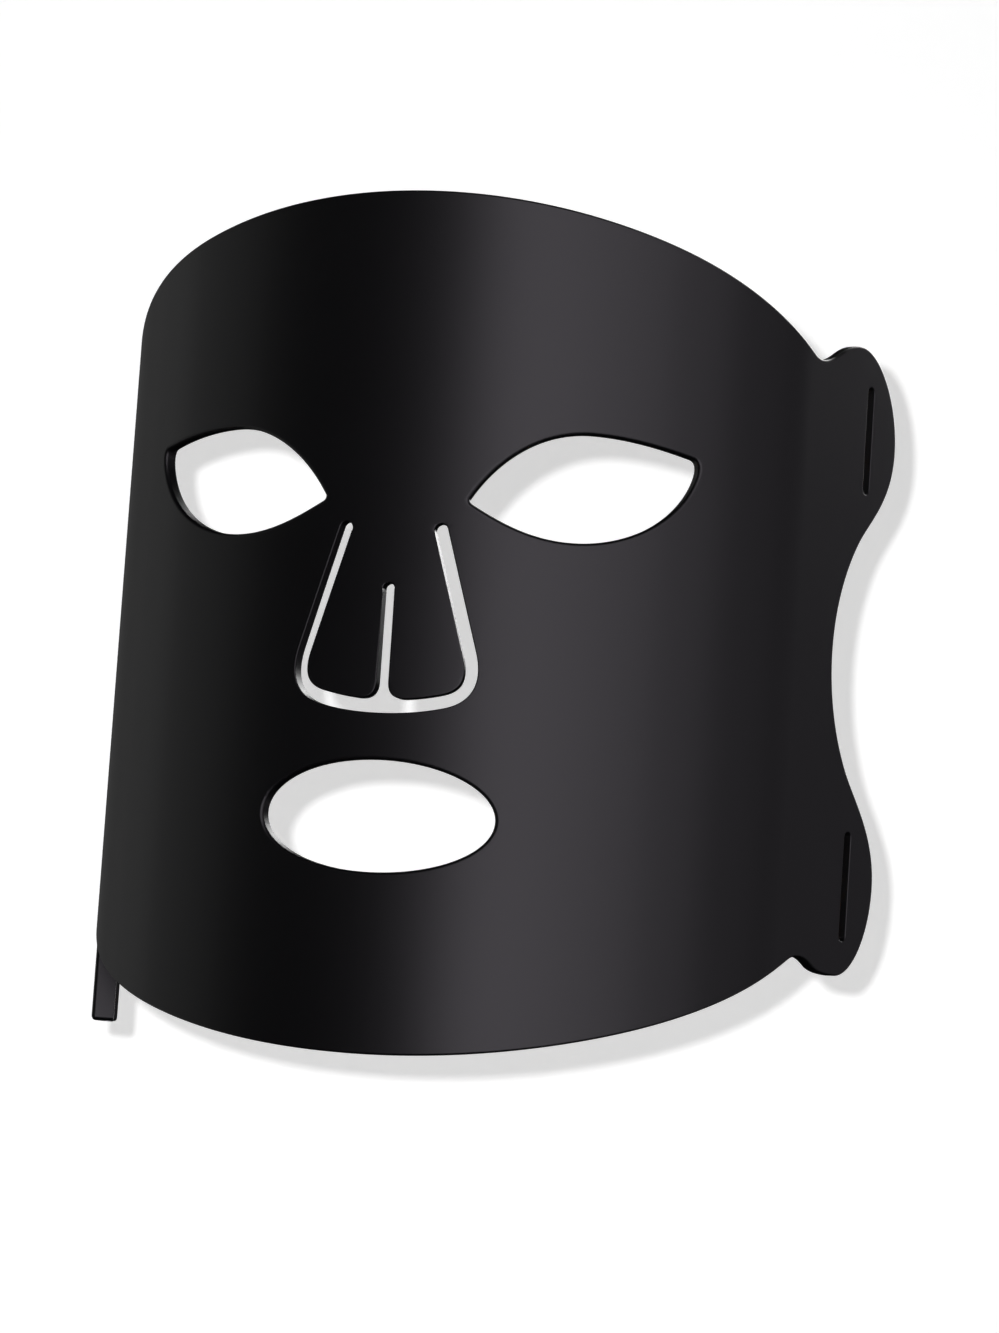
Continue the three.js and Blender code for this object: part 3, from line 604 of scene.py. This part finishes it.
def buildCover():
    sizes = coverSizes
    bm = newSheet()
    rootSpots = [rootLow, rootHigh, Vector((-rootLow.x, rootLow.y)), Vector((-rootHigh.x, rootHigh.y))]
    fronts = [addWire(bm, coverOutline(), 0, sizes["lip"], False)]
    fronts += [addWire(bm, loop, 0, sizes["eyeLip"], True) for loop in (*eyeLoops, mouthLoop)]
    fronts.append(addWire(bm, noseLoop, 0, sizes["lip"] / 2, True, rootSpots))
    fronts += [addWire(bm, loop, 0, sizes["lip"] / 2, True) for loop in slotLoops]
    fillBetween(bm, [edge for wire in fronts for edge in wire])
    lips = [sizes["lip"], *[sizes["eyeLip"]] * 3, *[sizes["lip"] / 2] * (1 + len(slotLoops))]
    backs = [
        wallWithLips(bm, wire, lip, sizes["thickness"], min(lip, sizes["lip"]) / 2)
        for wire, lip in zip(fronts, lips)
    ]
    trayLoop = fieldOutline(sizes["trayHalfWidth"], sizes["rim"], sizes["trayCorner"])
    tray = addWire(bm, trayLoop, sizes["thickness"], squareLip, True)
    rims = [
        addWire(bm, grown(loop, sizes["rim"]), sizes["thickness"], squareLip, False) for loop in clearings
    ]
    openings = backs[1:1 + len(clearings)]
    slots = backs[1 + len(clearings):]
    fillBetween(bm, backs[0] + tray + [edge for wire in slots for edge in wire])
    for rim, back in zip(rims, openings):
        fillBetween(bm, rim + back)
    floor = [extrudeTo(bm, wire, 0, sizes["skin"] - sizes["thickness"]) for wire in (tray, *rims)]
    fillBetween(bm, [edge for wire in floor for edge in wire])
    bendSheet(bm, bend["step"])
    return finishPiece(bm, "coverSkin", siliconeRubber)


# The stub, a shell and a lid that part behind the socket. Heights are on the mask, and across is about
# the stub's own middle until it is placed on the sheet.
stubSizes = {
    "across": -117.8, "width": 14, "front": 0.4, "seat": 1.4, "back": 6.85, "foot": -97.9, "step": -75.9,
    "lidTop": -56, "shoulder": -52, "top": -45, "parting": 6, "partingGap": 0.04, "groove": 0.15,
    "corner": 1.3, "footCorner": 1.1, "edge": 0.5, "fit": 0.3,
    "cornerSteps": 5, "footSteps": 4, "edgeSteps": 3, "grooveSteps": 2, "weldWithin": 0.002,
    "seatBack": 12, "seatOverrun": 0.5, "seatCorner": 0.8, "seatClear": 0.1,
    "socketDepth": 4.2, "socketWidth": 8.94, "socketHeight": 3.1, "socketFit": 0.1, "socketRoom": 7.7,
}


def block(bm, profile, halfWidth):
    # Extrudes a profile of depth and height across the stub.
    face = bm.faces.new([bm.verts.new((-halfWidth, depth, height)) for depth, height in profile])
    made = bmesh.ops.extrude_face_region(bm, geom=[face])["geom"]
    moved = [item for item in made if isinstance(item, bmesh.types.BMVert)]
    bmesh.ops.translate(bm, verts=moved, vec=(2 * halfWidth, 0, 0))
    bmesh.ops.recalc_face_normals(bm, faces=bm.faces[:])


def bevelWhere(bm, test, width, segments):
    edges = [edge for edge in bm.edges if test(edge.verts[0].co, edge.verts[1].co)]
    bmesh.ops.bevel(
        bm, geom=edges, offset=width, offset_type="OFFSET", segments=segments, profile=0.5,
        affect="EDGES", material=-1, clamp_overlap=True,
    )


def near(a, b):
    return abs(a - b) < sameWithin


def seatOnSheet(bm, across):
    for vert in bm.verts:
        vert.co = sheetPlace(across + vert.co.x, vert.co.y, vert.co.z)


def cutSeat(piece):
    # The cover is cut back behind its skin where the stub sits in it.
    sizes = stubSizes
    bm = bmesh.new()
    front = coverSizes["skin"]
    low = sizes["foot"]
    high = sizes["top"] + sizes["fit"]
    back = sizes["seatBack"]
    block(bm, [(front, low), (back, low), (back, high), (front, high)], sizes["width"] / 2 + sizes["fit"])
    for vert in bm.verts:
        if vert.co.x > 0:
            vert.co.x += sizes["seatOverrun"]  # into the tray
    bevelWhere(
        bm, lambda a, b: near(a.z, high) and near(b.z, high), sizes["seatCorner"], sizes["edgeSteps"],
    )
    seatOnSheet(bm, sizes["across"])
    mesh = bpy.data.meshes.new("seatCutter")
    bm.to_mesh(mesh)
    bm.free()
    cutter = bpy.data.objects.new("seatCutter", mesh)
    bpy.context.scene.collection.objects.link(cutter)
    piece.modifiers.clear()
    cut = piece.modifiers.new("stubSeat", "BOOLEAN")
    cut.operation = "DIFFERENCE"
    cut.solver = "EXACT"
    cut.object = cutter
    bpy.context.view_layer.update()
    evaluated = piece.evaluated_get(bpy.context.evaluated_depsgraph_get())
    shaped = bpy.data.meshes.new_from_object(evaluated)
    piece.modifiers.clear()
    bpy.data.objects.remove(cutter)
    bm = bmesh.new()
    bm.from_mesh(shaped)
    bmesh.ops.remove_doubles(bm, verts=bm.verts[:], dist=cutWithin * 2 * mm)
    finishPiece(bm, piece.name, siliconeRubber, piece)


cover = buildCover()
cutSeat(cover)
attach(cover, "mask")
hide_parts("cover")
print("cover made")


# The nose flaps are one sheet with the cover: each is cut into close strips across its fold, just below the
# line where it joins.

flapSizes = {"foldLength": 5, "foldCuts": 10}


def buildFlap(side, name):
    loop = flapOutline()
    along = (rootHigh - rootLow).normalized()
    down = Vector((along.y, -along.x))
    spots = [rootLow, rootHigh]
    if side < 0:
        loop = mirrored(loop)
        spots = [Vector((-p.x, p.y)) for p in spots]
        down = Vector((-down.x, down.y))
    bm = newSheet()
    lip = coverSizes["lip"] / 2
    wire = addWire(bm, loop, 0, lip, False, spots)
    fillBetween(bm, wire)
    back = wallWithLips(bm, wire, lip, coverSizes["thickness"], lip / 2)
    fillBetween(bm, back)
    cuts = []
    for i in range(1, flapSizes["foldCuts"] + 1):
        point = spots[0] + down * flapSizes["foldLength"] * i / flapSizes["foldCuts"]
        cuts.append(((point.x, 0, point.y), (down.x, 0, down.y)))
    bendSheet(bm, bend["step"], cuts)
    flap = finishPiece(bm, name, siliconeRubber)
    middle = (spots[0] + spots[1]) / 2
    end = middle + down * flapSizes["foldLength"]
    body = "flap_right" if side > 0 else "flap_left"
    sheetPlace(middle.x, 0, middle.y)
    sheetPlace(end.x, 0, end.y)
    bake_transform(flap)
    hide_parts(f"nose_{body}")
    return flap


flapLeft = buildFlap(-1, "noseFlapLeft")
flapRight = buildFlap(1, "noseFlapRight")
print("flaps made")


# The liner, with a round window over each LED

linerSizes = {
    "halfWidth": 110, "corner": 9, "front": 1.9, "thickness": 1.1, "lip": 0.25, "gap": 0.3,
    "domeRadius": 3.6, "domeHeight": 0.7, "domeSides": 24, "domeSteps": 6,
    "pocketWidth": 4.3, "pocketHeight": 3.4, "pocketDepth": 0.8,
}
ledSearch = {"reach": 115, "step": 0.25, "depth": 2.3}


def flatPlaceOf(name):
    # A node's middle as across and height on the flat pattern.
    low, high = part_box(name)
    middle = (low + high) / 2 / mm
    flat = Vector((middle.x, middle.y, 0))
    count = round(ledSearch["reach"] / ledSearch["step"])
    best = min(
        (i * ledSearch["step"] for i in range(-count, count + 1)),
        key=lambda across: (sheetPlace(across, ledSearch["depth"], 0) / mm - flat).length,
    )
    return Vector((best, middle.z))


ledNames = sorted(name for name in nodes if name.startswith("led_"))
ledPlaces = [flatPlaceOf(name) for name in ledNames]


def buildLiner():
    sizes = linerSizes
    bm = newSheet()
    wires = [addWire(
        bm, fieldOutline(sizes["halfWidth"], coverSizes["rim"] + sizes["gap"], sizes["corner"]),
        sizes["front"], sizes["lip"], False,
    )]
    wires += [
        addWire(bm, grown(loop, coverSizes["rim"] + sizes["gap"]), sizes["front"], sizes["lip"], True)
        for loop in clearings
    ]
    wide = sizes["pocketWidth"] / 2
    high = sizes["pocketHeight"] / 2
    corners = [Vector((-wide, -high)), Vector((wide, -high)), Vector((wide, high)), Vector((-wide, high))]
    pockets = [
        addWire(bm, [place + corner for corner in corners], sizes["front"], 0, True) for place in ledPlaces
    ]
    fillBetween(bm, [edge for wire in wires + pockets for edge in wire])
    for wire in pockets:
        fillBetween(bm, extrudeTo(bm, wire, 0, sizes["pocketDepth"]))
    backs = [wallWithLips(bm, wire, sizes["lip"], sizes["thickness"], sizes["lip"]) for wire in wires]
    away = bm.verts.layers.float_vector["away"]
    domes = []
    for place in ledPlaces:
        circle = bmesh.ops.create_circle(
            bm, segments=sizes["domeSides"], radius=sizes["domeRadius"], cap_ends=False,
            matrix=Matrix.Translation((place.x, sizes["front"] + sizes["thickness"], place.y))
            @ Matrix.Rotation(math.pi / 2, 4, "X"),
        )["verts"]
        for vert in circle:
            vert[away] = Vector((place.x, vert.co.y, place.y)) - vert.co
        domes.append(list(dict.fromkeys(edge for vert in circle for edge in vert.link_edges)))
    fillBetween(bm, [edge for wire in backs + domes for edge in wire])
    turns = [math.pi / 2 * i / sizes["domeSteps"] for i in range(sizes["domeSteps"])]
    for wire in domes:
        for a, b in zip(turns, turns[1:]):
            rise = sizes["domeHeight"] * (math.sin(b) - math.sin(a))
            wire = extrudeTo(bm, wire, math.cos(a) - math.cos(b), rise)
        fillBetween(bm, wire)
    bendSheet(bm, bend["step"])
    return finishPiece(bm, "linerSkin", milkySilicone)


liner = buildLiner()
liner.visible_shadow = False  # clear rubber throws no shadow on the circuit and the LEDs
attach(liner, "mask")
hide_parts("liner")
print("liner made")


# The stub's shell and lid

def stubBlock():
    sizes = stubSizes
    front, back, seat = sizes["front"], sizes["back"], sizes["seat"]
    foot, step, top = sizes["foot"], sizes["step"], sizes["top"]
    bm = bmesh.new()
    block(bm, [
        (front, foot), (back, foot), (back, sizes["shoulder"]), (coverSizes["thickness"], top),
        (seat, top), (seat, step), (front, step),
    ], sizes["width"] / 2)
    bevelWhere(
        bm, lambda a, b: near(a.x, b.x) and near(a.y, b.y) and (near(a.y, front) or near(a.y, back)),
        sizes["corner"], sizes["cornerSteps"],
    )
    bevelWhere(
        bm, lambda a, b: near(a.z, foot) and near(b.z, foot), sizes["footCorner"], sizes["footSteps"],
    )
    side = sizes["width"] / 2
    above = seat + sizes["seatClear"]
    bevelWhere(
        bm, lambda a, b: min(a.z, b.z) > sizes["lidTop"] and min(a.y, b.y) > above
        and not near(a.z, b.z) and near(abs(a.x), side) and near(abs(b.x), side),
        sizes["edge"], sizes["edgeSteps"],
    )
    bevelWhere(
        bm, lambda a, b: near(a.z, sizes["shoulder"]) and near(b.z, sizes["shoulder"])
        and near(a.y, back) and near(b.y, back),
        sizes["edge"], sizes["edgeSteps"],
    )
    bmesh.ops.remove_doubles(bm, verts=bm.verts[:], dist=sizes["weldWithin"])
    return bm


def fillHole(bm):
    # Closes each open loop with a flat face.
    openEdges = [edge for edge in bm.edges if edge.is_boundary or edge.is_wire]
    bmesh.ops.edgenet_fill(bm, edges=openEdges)
    bmesh.ops.recalc_face_normals(bm, faces=bm.faces[:])


def buildLid():
    sizes = stubSizes
    bm = stubBlock()
    front = sizes["parting"] + sizes["partingGap"] / 2
    cutAt(bm, (0, front, 0), (0, 1, 0), True)
    fillHole(bm)
    cutAt(bm, (0, 0, sizes["lidTop"]), (0, 0, -1), True)
    fillHole(bm)
    steps = sizes["grooveSteps"]
    top = sizes["lidTop"]
    bevelWhere(bm, lambda a, b: near(a.y, front) and near(b.y, front), sizes["groove"], steps)
    bevelWhere(bm, lambda a, b: near(a.z, top) and near(b.z, top), sizes["groove"], steps)
    seatOnSheet(bm, sizes["across"])
    return finishPiece(bm, "stubLid", siliconeRubber)


def buildShell():
    sizes = stubSizes
    bm = stubBlock()
    parting = sizes["parting"] - sizes["partingGap"] / 2
    ledge = sizes["lidTop"] + sizes["partingGap"]
    cutAt(bm, (0, parting, 0), (0, 1, 0))
    cutAt(bm, (0, 0, ledge), (0, 0, 1))
    gone = [
        face for face in bm.faces
        if face.calc_center_median().y > parting and face.calc_center_median().z < ledge
    ]
    bmesh.ops.delete(bm, geom=gone, context="FACES")
    ends = [
        vert for vert in bm.verts
        if near(vert.co.y, parting) and near(vert.co.z, ledge) and vert.is_boundary
    ]
    bm.edges.new(ends)
    fillHole(bm)
    bevelWhere(
        bm, lambda a, b: near(a.y, parting) and near(b.y, parting)
        and not (near(a.z, ledge) and near(b.z, ledge)),
        sizes["groove"], sizes["grooveSteps"],
    )
    low = [face for face in bm.faces if near(face.calc_center_median().z, sizes["foot"])]
    foot = max(low, key=lambda face: face.calc_area())
    rim = list(foot.edges)
    bmesh.ops.delete(bm, geom=[foot], context="FACES_ONLY")
    radius = sizes["socketHeight"] / 2 + sizes["socketFit"]
    straight = (sizes["socketWidth"] - sizes["socketHeight"]) / 2
    depth = sizes["socketDepth"]
    loop = arcPoints((straight, depth), radius, -math.pi / 2, math.pi / 2, fineStep)
    loop += arcPoints((-straight, depth), radius, math.pi / 2, 3 * math.pi / 2, fineStep)
    verts = [bm.verts.new((point.x, point.y, sizes["foot"])) for point in loop]
    mouth = [bm.edges.new((verts[i - 1], verts[i])) for i in range(len(verts))]
    fillBetween(bm, rim + mouth)
    made = bmesh.ops.extrude_edge_only(bm, edges=mouth)["geom"]
    moved = [item for item in made if isinstance(item, bmesh.types.BMVert)]
    bmesh.ops.translate(bm, verts=moved, vec=(0, 0, sizes["socketRoom"]))
    bmesh.ops.edgeloop_fill(bm, edges=[item for item in made if isinstance(item, bmesh.types.BMEdge)])
    bmesh.ops.recalc_face_normals(bm, faces=bm.faces[:])
    seatOnSheet(bm, sizes["across"])
    return finishPiece(bm, "stubShell", siliconeRubber)


for piece, node in ((buildShell(), "inlet_housing"), (buildLid(), "inlet_lid")):
    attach(piece, "mask")
    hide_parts(node)
print("stub made")


# The LEDs: a white moulded body with a cup, a small red die in it, and a silvered terminal at each end

ledSizes = {
    "base": 1.6, "width": 3.5, "height": 2.8, "thickness": 0.8, "edge": 0.12, "edgeSteps": 2,
    "cupMouth": 1.1, "cupFloor": 0.8, "cupDepth": 0.35, "cupSides": 20,
    "die": 0.4, "dieHeight": 0.12, "dieEdge": 0.02,
    "terminalReach": 0.22, "terminalHeight": 1.9, "terminalThickness": 0.3, "terminalEdge": 0.05,
}


def addBox(bm, size, centre, edge, slot):
    # A box with round edges, in the material of its slot.
    before = set(bm.faces)
    place = Matrix.Translation(centre) @ Matrix.Diagonal((*size, 1))
    verts = bmesh.ops.create_cube(bm, size=1, matrix=place)["verts"]
    edges = list(dict.fromkeys(item for vert in verts for item in vert.link_edges))
    bmesh.ops.bevel(
        bm, geom=edges, offset=edge, offset_type="OFFSET", segments=ledSizes["edgeSteps"],
        profile=0.5, affect="EDGES", material=-1, clamp_overlap=True,
    )
    for face in bm.faces:
        if face not in before:
            face.material_index = slot


def ledShape():
    sizes = ledSizes
    bm = bmesh.new()
    top = sizes["base"] + sizes["thickness"]
    addBox(
        bm, (sizes["width"], sizes["thickness"], sizes["height"]), (0, top - sizes["thickness"] / 2, 0),
        sizes["edge"], 0,
    )
    tops = [face for face in bm.faces if near(face.calc_center_median().y, top)]
    face = max(tops, key=lambda item: item.calc_area())
    rim = list(face.edges)
    bmesh.ops.delete(bm, geom=[face], context="FACES_ONLY")
    cup = []
    for radius, depth in ((sizes["cupMouth"], top), (sizes["cupFloor"], top - sizes["cupDepth"])):
        verts = bmesh.ops.create_circle(
            bm, segments=sizes["cupSides"], radius=radius, cap_ends=False,
            matrix=Matrix.Translation((0, depth, 0)) @ Matrix.Rotation(math.pi / 2, 4, "X"),
        )["verts"]
        cup.append(list(dict.fromkeys(item for vert in verts for item in vert.link_edges)))
    fillBetween(bm, rim + cup[0])
    bmesh.ops.bridge_loops(bm, edges=cup[0] + cup[1])
    bmesh.ops.edgeloop_fill(bm, edges=cup[1])
    floor = top - sizes["cupDepth"]
    addBox(
        bm, (sizes["die"], sizes["dieHeight"], sizes["die"]), (0, floor + sizes["dieHeight"] / 2, 0),
        sizes["dieEdge"], 2,
    )
    for side in (-1, 1):
        across = side * (sizes["width"] + sizes["terminalReach"]) / 2
        addBox(
            bm, (sizes["terminalReach"], sizes["terminalThickness"], sizes["terminalHeight"]),
            (across, sizes["base"] + sizes["terminalThickness"] / 2, 0), sizes["terminalEdge"], 1,
        )
    bmesh.ops.recalc_face_normals(bm, faces=bm.faces[:])
    return bm


ledFinishes = [plain["ledBody"], plain["leadSilver"], plain["ledDie"]]
for name, place in zip(ledNames, ledPlaces):
    bm = ledShape()
    origin = sheetPlace(place.x, 0, place.y)
    inward = (sheetPlace(place.x, 1, place.y) - origin) / mm
    along = inward.cross(Vector((0, 0, 1)))
    for vert in bm.verts:
        vert.co = origin + (along * vert.co.x + inward * vert.co.y + Vector((0, 0, vert.co.z))) * mm
    number = name.split("_")[1]
    lamp = finishPiece(bm, f"ledLamp{number}", ledFinishes)
    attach(lamp, "mask")
    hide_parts(name)
print("LEDs made")


# The carried-over pieces

finishes = {
    "circuit": "polyimideFilm", "inlet_board": "boardLaminate", "inlet_socket": "plugSteel",
    "inlet_tongue": "contactPlastic",
}
for name, finish in finishes.items():
    nodes[name].data.materials.clear()
    nodes[name].data.materials.append(plain[finish])


# The studio: a pale sweep behind and below, soft lamps, and the photograph's camera

studio = {
    "wall": 0.3, "floor": -0.3, "cove": 0.12, "width": 14, "reach": 7, "tent": 1.8,  # metres
    "colour": "#f4f4f4", "turn": 17, "fill": 0.3, "glow": 0.3, "coveSteps": 24, "tentSides": 32,
}


def buildSweep():
    bm = bmesh.new()
    a = bm.verts.new((-studio["width"] / 2, -studio["reach"], studio["floor"]))
    b = bm.verts.new((studio["width"] / 2, -studio["reach"], studio["floor"]))
    edge = bm.edges.new((a, b))
    floor = bmesh.ops.extrude_edge_only(bm, edges=[edge])["geom"]
    edge = [item for item in floor if isinstance(item, bmesh.types.BMEdge)][0]
    shift = studio["reach"] + studio["wall"] - studio["cove"]
    bmesh.ops.translate(bm, verts=edge.verts[:], vec=(0, shift, 0))
    cove = bmesh.ops.spin(
        bm, geom=[edge], cent=(0, studio["wall"] - studio["cove"], studio["floor"] + studio["cove"]),
        axis=(1, 0, 0), angle=math.pi / 2, steps=studio["coveSteps"], use_merge=False, use_duplicate=False,
    )["geom_last"]
    edge = [item for item in cove if isinstance(item, bmesh.types.BMEdge)][0]
    wall = bmesh.ops.extrude_edge_only(bm, edges=[edge])["geom"]
    edge = [item for item in wall if isinstance(item, bmesh.types.BMEdge)][0]
    bmesh.ops.translate(bm, verts=edge.verts[:], vec=(0, 0, studio["reach"]))
    turn = Matrix.Rotation(math.radians(studio["turn"]), 4, "Z")
    bmesh.ops.transform(bm, matrix=turn, verts=bm.verts[:])
    bmesh.ops.recalc_face_normals(bm, faces=bm.faces[:])
    bm.faces.ensure_lookup_table()
    if bm.faces[0].normal.z < 0:
        bmesh.ops.reverse_faces(bm, faces=bm.faces[:])
    for face in bm.faces:
        face.smooth = True
    mesh = bpy.data.meshes.new("studioSweep")
    bm.to_mesh(mesh)
    bm.free()
    sweep = bpy.data.objects.new("studioSweep", mesh)
    bpy.context.scene.collection.objects.link(sweep)
    return sweep


def seenDirectly(tree):
    # 1 for camera, glossy and transmission rays, and 0 for the rest.
    rays = addNode(tree, "ShaderNodeLightPath", {}, {})
    seen = addNode(
        tree, "ShaderNodeMath", {"operation": "ADD"},
        {0: rays.outputs["Is Camera Ray"], 1: rays.outputs["Is Glossy Ray"]},
    )
    return addNode(
        tree, "ShaderNodeMath", {"operation": "ADD", "use_clamp": True},
        {0: seen.outputs[0], 1: rays.outputs["Is Transmission Ray"]},
    ).outputs[0]


# Matt white paper. It is seen from its front only, so that it hides nothing in the other views.
def makePaper():
    material, tree, shader = newMaterial("studioPaper", {"Roughness": 1, "Specular IOR Level": 0})
    shader.inputs["Base Color"].default_value = colourOf(studio["colour"])
    shader.inputs["Emission Color"].default_value = (1, 1, 1, 1)
    glow = addNode(
        tree, "ShaderNodeMath", {"operation": "MULTIPLY", 1: studio["glow"]}, {0: seenDirectly(tree)},
    )
    tree.links.new(glow.outputs[0], shader.inputs["Emission Strength"])
    side = addNode(tree, "ShaderNodeNewGeometry", {}, {})
    clear = addNode(tree, "ShaderNodeBsdfTransparent", {}, {})
    both = addNode(
        tree, "ShaderNodeMixShader", {},
        {0: side.outputs["Backfacing"], 1: shader.outputs[0], 2: clear.outputs[0]},
    )
    tree.links.new(both.outputs[0], tree.nodes["Material Output"].inputs["Surface"])
    return material


sweep = buildSweep()
sweep.data.materials.append(makePaper())
sweep.visible_glossy = False
sweep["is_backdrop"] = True


# A black tent round the set, seen only by reflections, so that the satin rubber shows nothing but the lamps.
def buildTent():
    bm = bmesh.new()
    sides = studio["tentSides"]
    bmesh.ops.create_uvsphere(bm, u_segments=sides, v_segments=sides // 2, radius=studio["tent"])
    bmesh.ops.reverse_faces(bm, faces=bm.faces[:])
    mesh = bpy.data.meshes.new("darkTent")
    bm.to_mesh(mesh)
    bm.free()
    tent = bpy.data.objects.new("darkTent", mesh)
    bpy.context.scene.collection.objects.link(tent)
    cloth, tree, shader = newMaterial("blackCloth", {"Roughness": 1, "Specular IOR Level": 0})
    shader.inputs["Base Color"].default_value = colourOf("#040404")
    mesh.materials.append(cloth)
    for kind in ("camera", "diffuse", "transmission", "volume_scatter", "shadow"):
        setattr(tent, f"visible_{kind}", False)
    return tent


buildTent()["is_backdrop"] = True


def hangLamp(item, away):
    item.rotation_mode = "QUATERNION"
    item.rotation_quaternion = away.to_track_quat("Z", "Y")
    bpy.context.scene.collection.objects.link(item)


# Strip lamps: azimuth round the mask, width in metres and power in watts. Their steps follow how the
# photograph's rubber goes from dark grey at the left, over black, to a broad sheen and back to dark grey.
stripLamps = {
    "farLeftStrip": (-135, 0.4, 0.29), "backLeftStrip": (-112, 0.3, 0.42),
    "leftStrip": (-92, 0.3, 0.75), "frontLeftStrip": (-70, 0.35, 0.57),
    "sheenLeftStrip": (7, 0.2, 2.14), "sheenStrip": (15, 0.2, 1.89), "sheenRightStrip": (25, 0.2, 1.79),
    "frontRightStrip": (36, 0.25, 1.77), "midRightStrip": (48, 0.25, 1.47),
    "rightStrip": (68, 0.35, 1.73), "backRightStrip": (95, 0.4, 0.8), "farRightStrip": (125, 0.4, 0.51),
}
stripHeight = 1.4  # metres
stripTints = {"left": "#ffffff", "right": "#fbf4ff"}
target = Vector((0, 0.035, 0))  # what the lamps aim at, inside the bend
for name, (azimuth, width, power) in stripLamps.items():
    data = bpy.data.lights.new(name, "AREA")
    data.shape = "RECTANGLE"
    data.size = width
    data.size_y = stripHeight
    data.energy = power
    data.color = colourOf(stripTints["right" if azimuth > 0 else "left"])[:3]
    away = Vector((math.sin(math.radians(azimuth)), -math.cos(math.radians(azimuth)), 0))
    light = bpy.data.objects.new(name, data)
    light.location = target + away
    hangLamp(light, away)

# A soft lamp over the wearer's side, for the inside of the mask.
insideLamp = {"away": (0.3, 0.98, 0.6), "size": 0.8, "power": 14}
data = bpy.data.lights.new("insideLamp", "AREA")
data.size = insideLamp["size"]
data.energy = insideLamp["power"]
light = bpy.data.objects.new("insideLamp", data)
light.location = target + Vector(insideLamp["away"])
hangLamp(light, Vector(insideLamp["away"]))

# White for what is seen directly, and a plain soft fill for the rest.
world = bpy.data.worlds.new("studioAir")
world.use_nodes = True
airTree = world.node_tree
level = addNode(
    airTree, "ShaderNodeMapRange", {"To Min": studio["fill"], "To Max": 1}, {"Value": seenDirectly(airTree)},
)
air = airTree.nodes["Background"]
air.inputs["Color"].default_value = (1, 1, 1, 1)
airTree.links.new(level.outputs["Result"], air.inputs["Strength"])
bpy.context.scene.world = world

# The camera stands where the photograph's edges, openings and tabs put it.
view = {
    "place": (0.317789, -0.944336, -0.112491),
    "right": (0.95603, 0.28546, 0.06722), "up": (-0.03466, -0.11761, 0.99245),
    "focal": 4246.52, "longSide": 1333, "sensor": 36,
}
camera = bpy.data.objects.new("photoCamera", bpy.data.cameras.new("photoCamera"))
right = Vector(view["right"])
up = Vector(view["up"])
back = right.cross(up)
camera.matrix_world = Matrix((
    (right.x, up.x, back.x, view["place"][0]),
    (right.y, up.y, back.y, view["place"][1]),
    (right.z, up.z, back.z, view["place"][2]),
    (0, 0, 0, 1),
))
camera.data.sensor_width = view["sensor"]
camera.data.lens = view["focal"] / view["longSide"] * view["sensor"]
bpy.context.scene.collection.objects.link(camera)
bpy.context.scene.camera = camera

# A small lamp just above and left of the camera lights the paper alone, and throws the mask's short
# shadow on it.
paperLamp = {"left": 0.026, "up": 0.024, "radius": 0.006, "power": 28, "cone": 50}
data = bpy.data.lights.new("paperLamp", "SPOT")
data.energy = paperLamp["power"]
data.shadow_soft_size = paperLamp["radius"]
data.spot_size = math.radians(paperLamp["cone"])
data.spot_blend = 1
spot = bpy.data.objects.new("paperLamp", data)
spot.location = Vector(view["place"]) - right * paperLamp["left"] + up * paperLamp["up"]
hangLamp(spot, back)

# A soft sun from straight above whitens the floor, which the main view doesn't see.
floorSun = {"strength": 1.1, "spread": 12}
data = bpy.data.lights.new("floorSun", "SUN")
data.energy = floorSun["strength"]
data.angle = math.radians(floorSun["spread"])
sun = bpy.data.objects.new("floorSun", data)
hangLamp(sun, Vector((0, 0, 1)))

# The paper takes its light from its own lamp and the air, and the mask from all the others.
maskSet = bpy.data.collections.new("maskSet")
paperSet = bpy.data.collections.new("paperSet")
paperSet.objects.link(sweep)
for item in bpy.context.scene.objects:
    if item.type == "MESH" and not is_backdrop(item):
        maskSet.objects.link(item)
for item in bpy.context.scene.objects:
    if item.type == "LIGHT":
        item.light_linking.receiver_collection = paperSet if item in (spot, sun) else maskSet
bpy.context.scene.view_settings.view_transform = "Standard"
print("studio made")
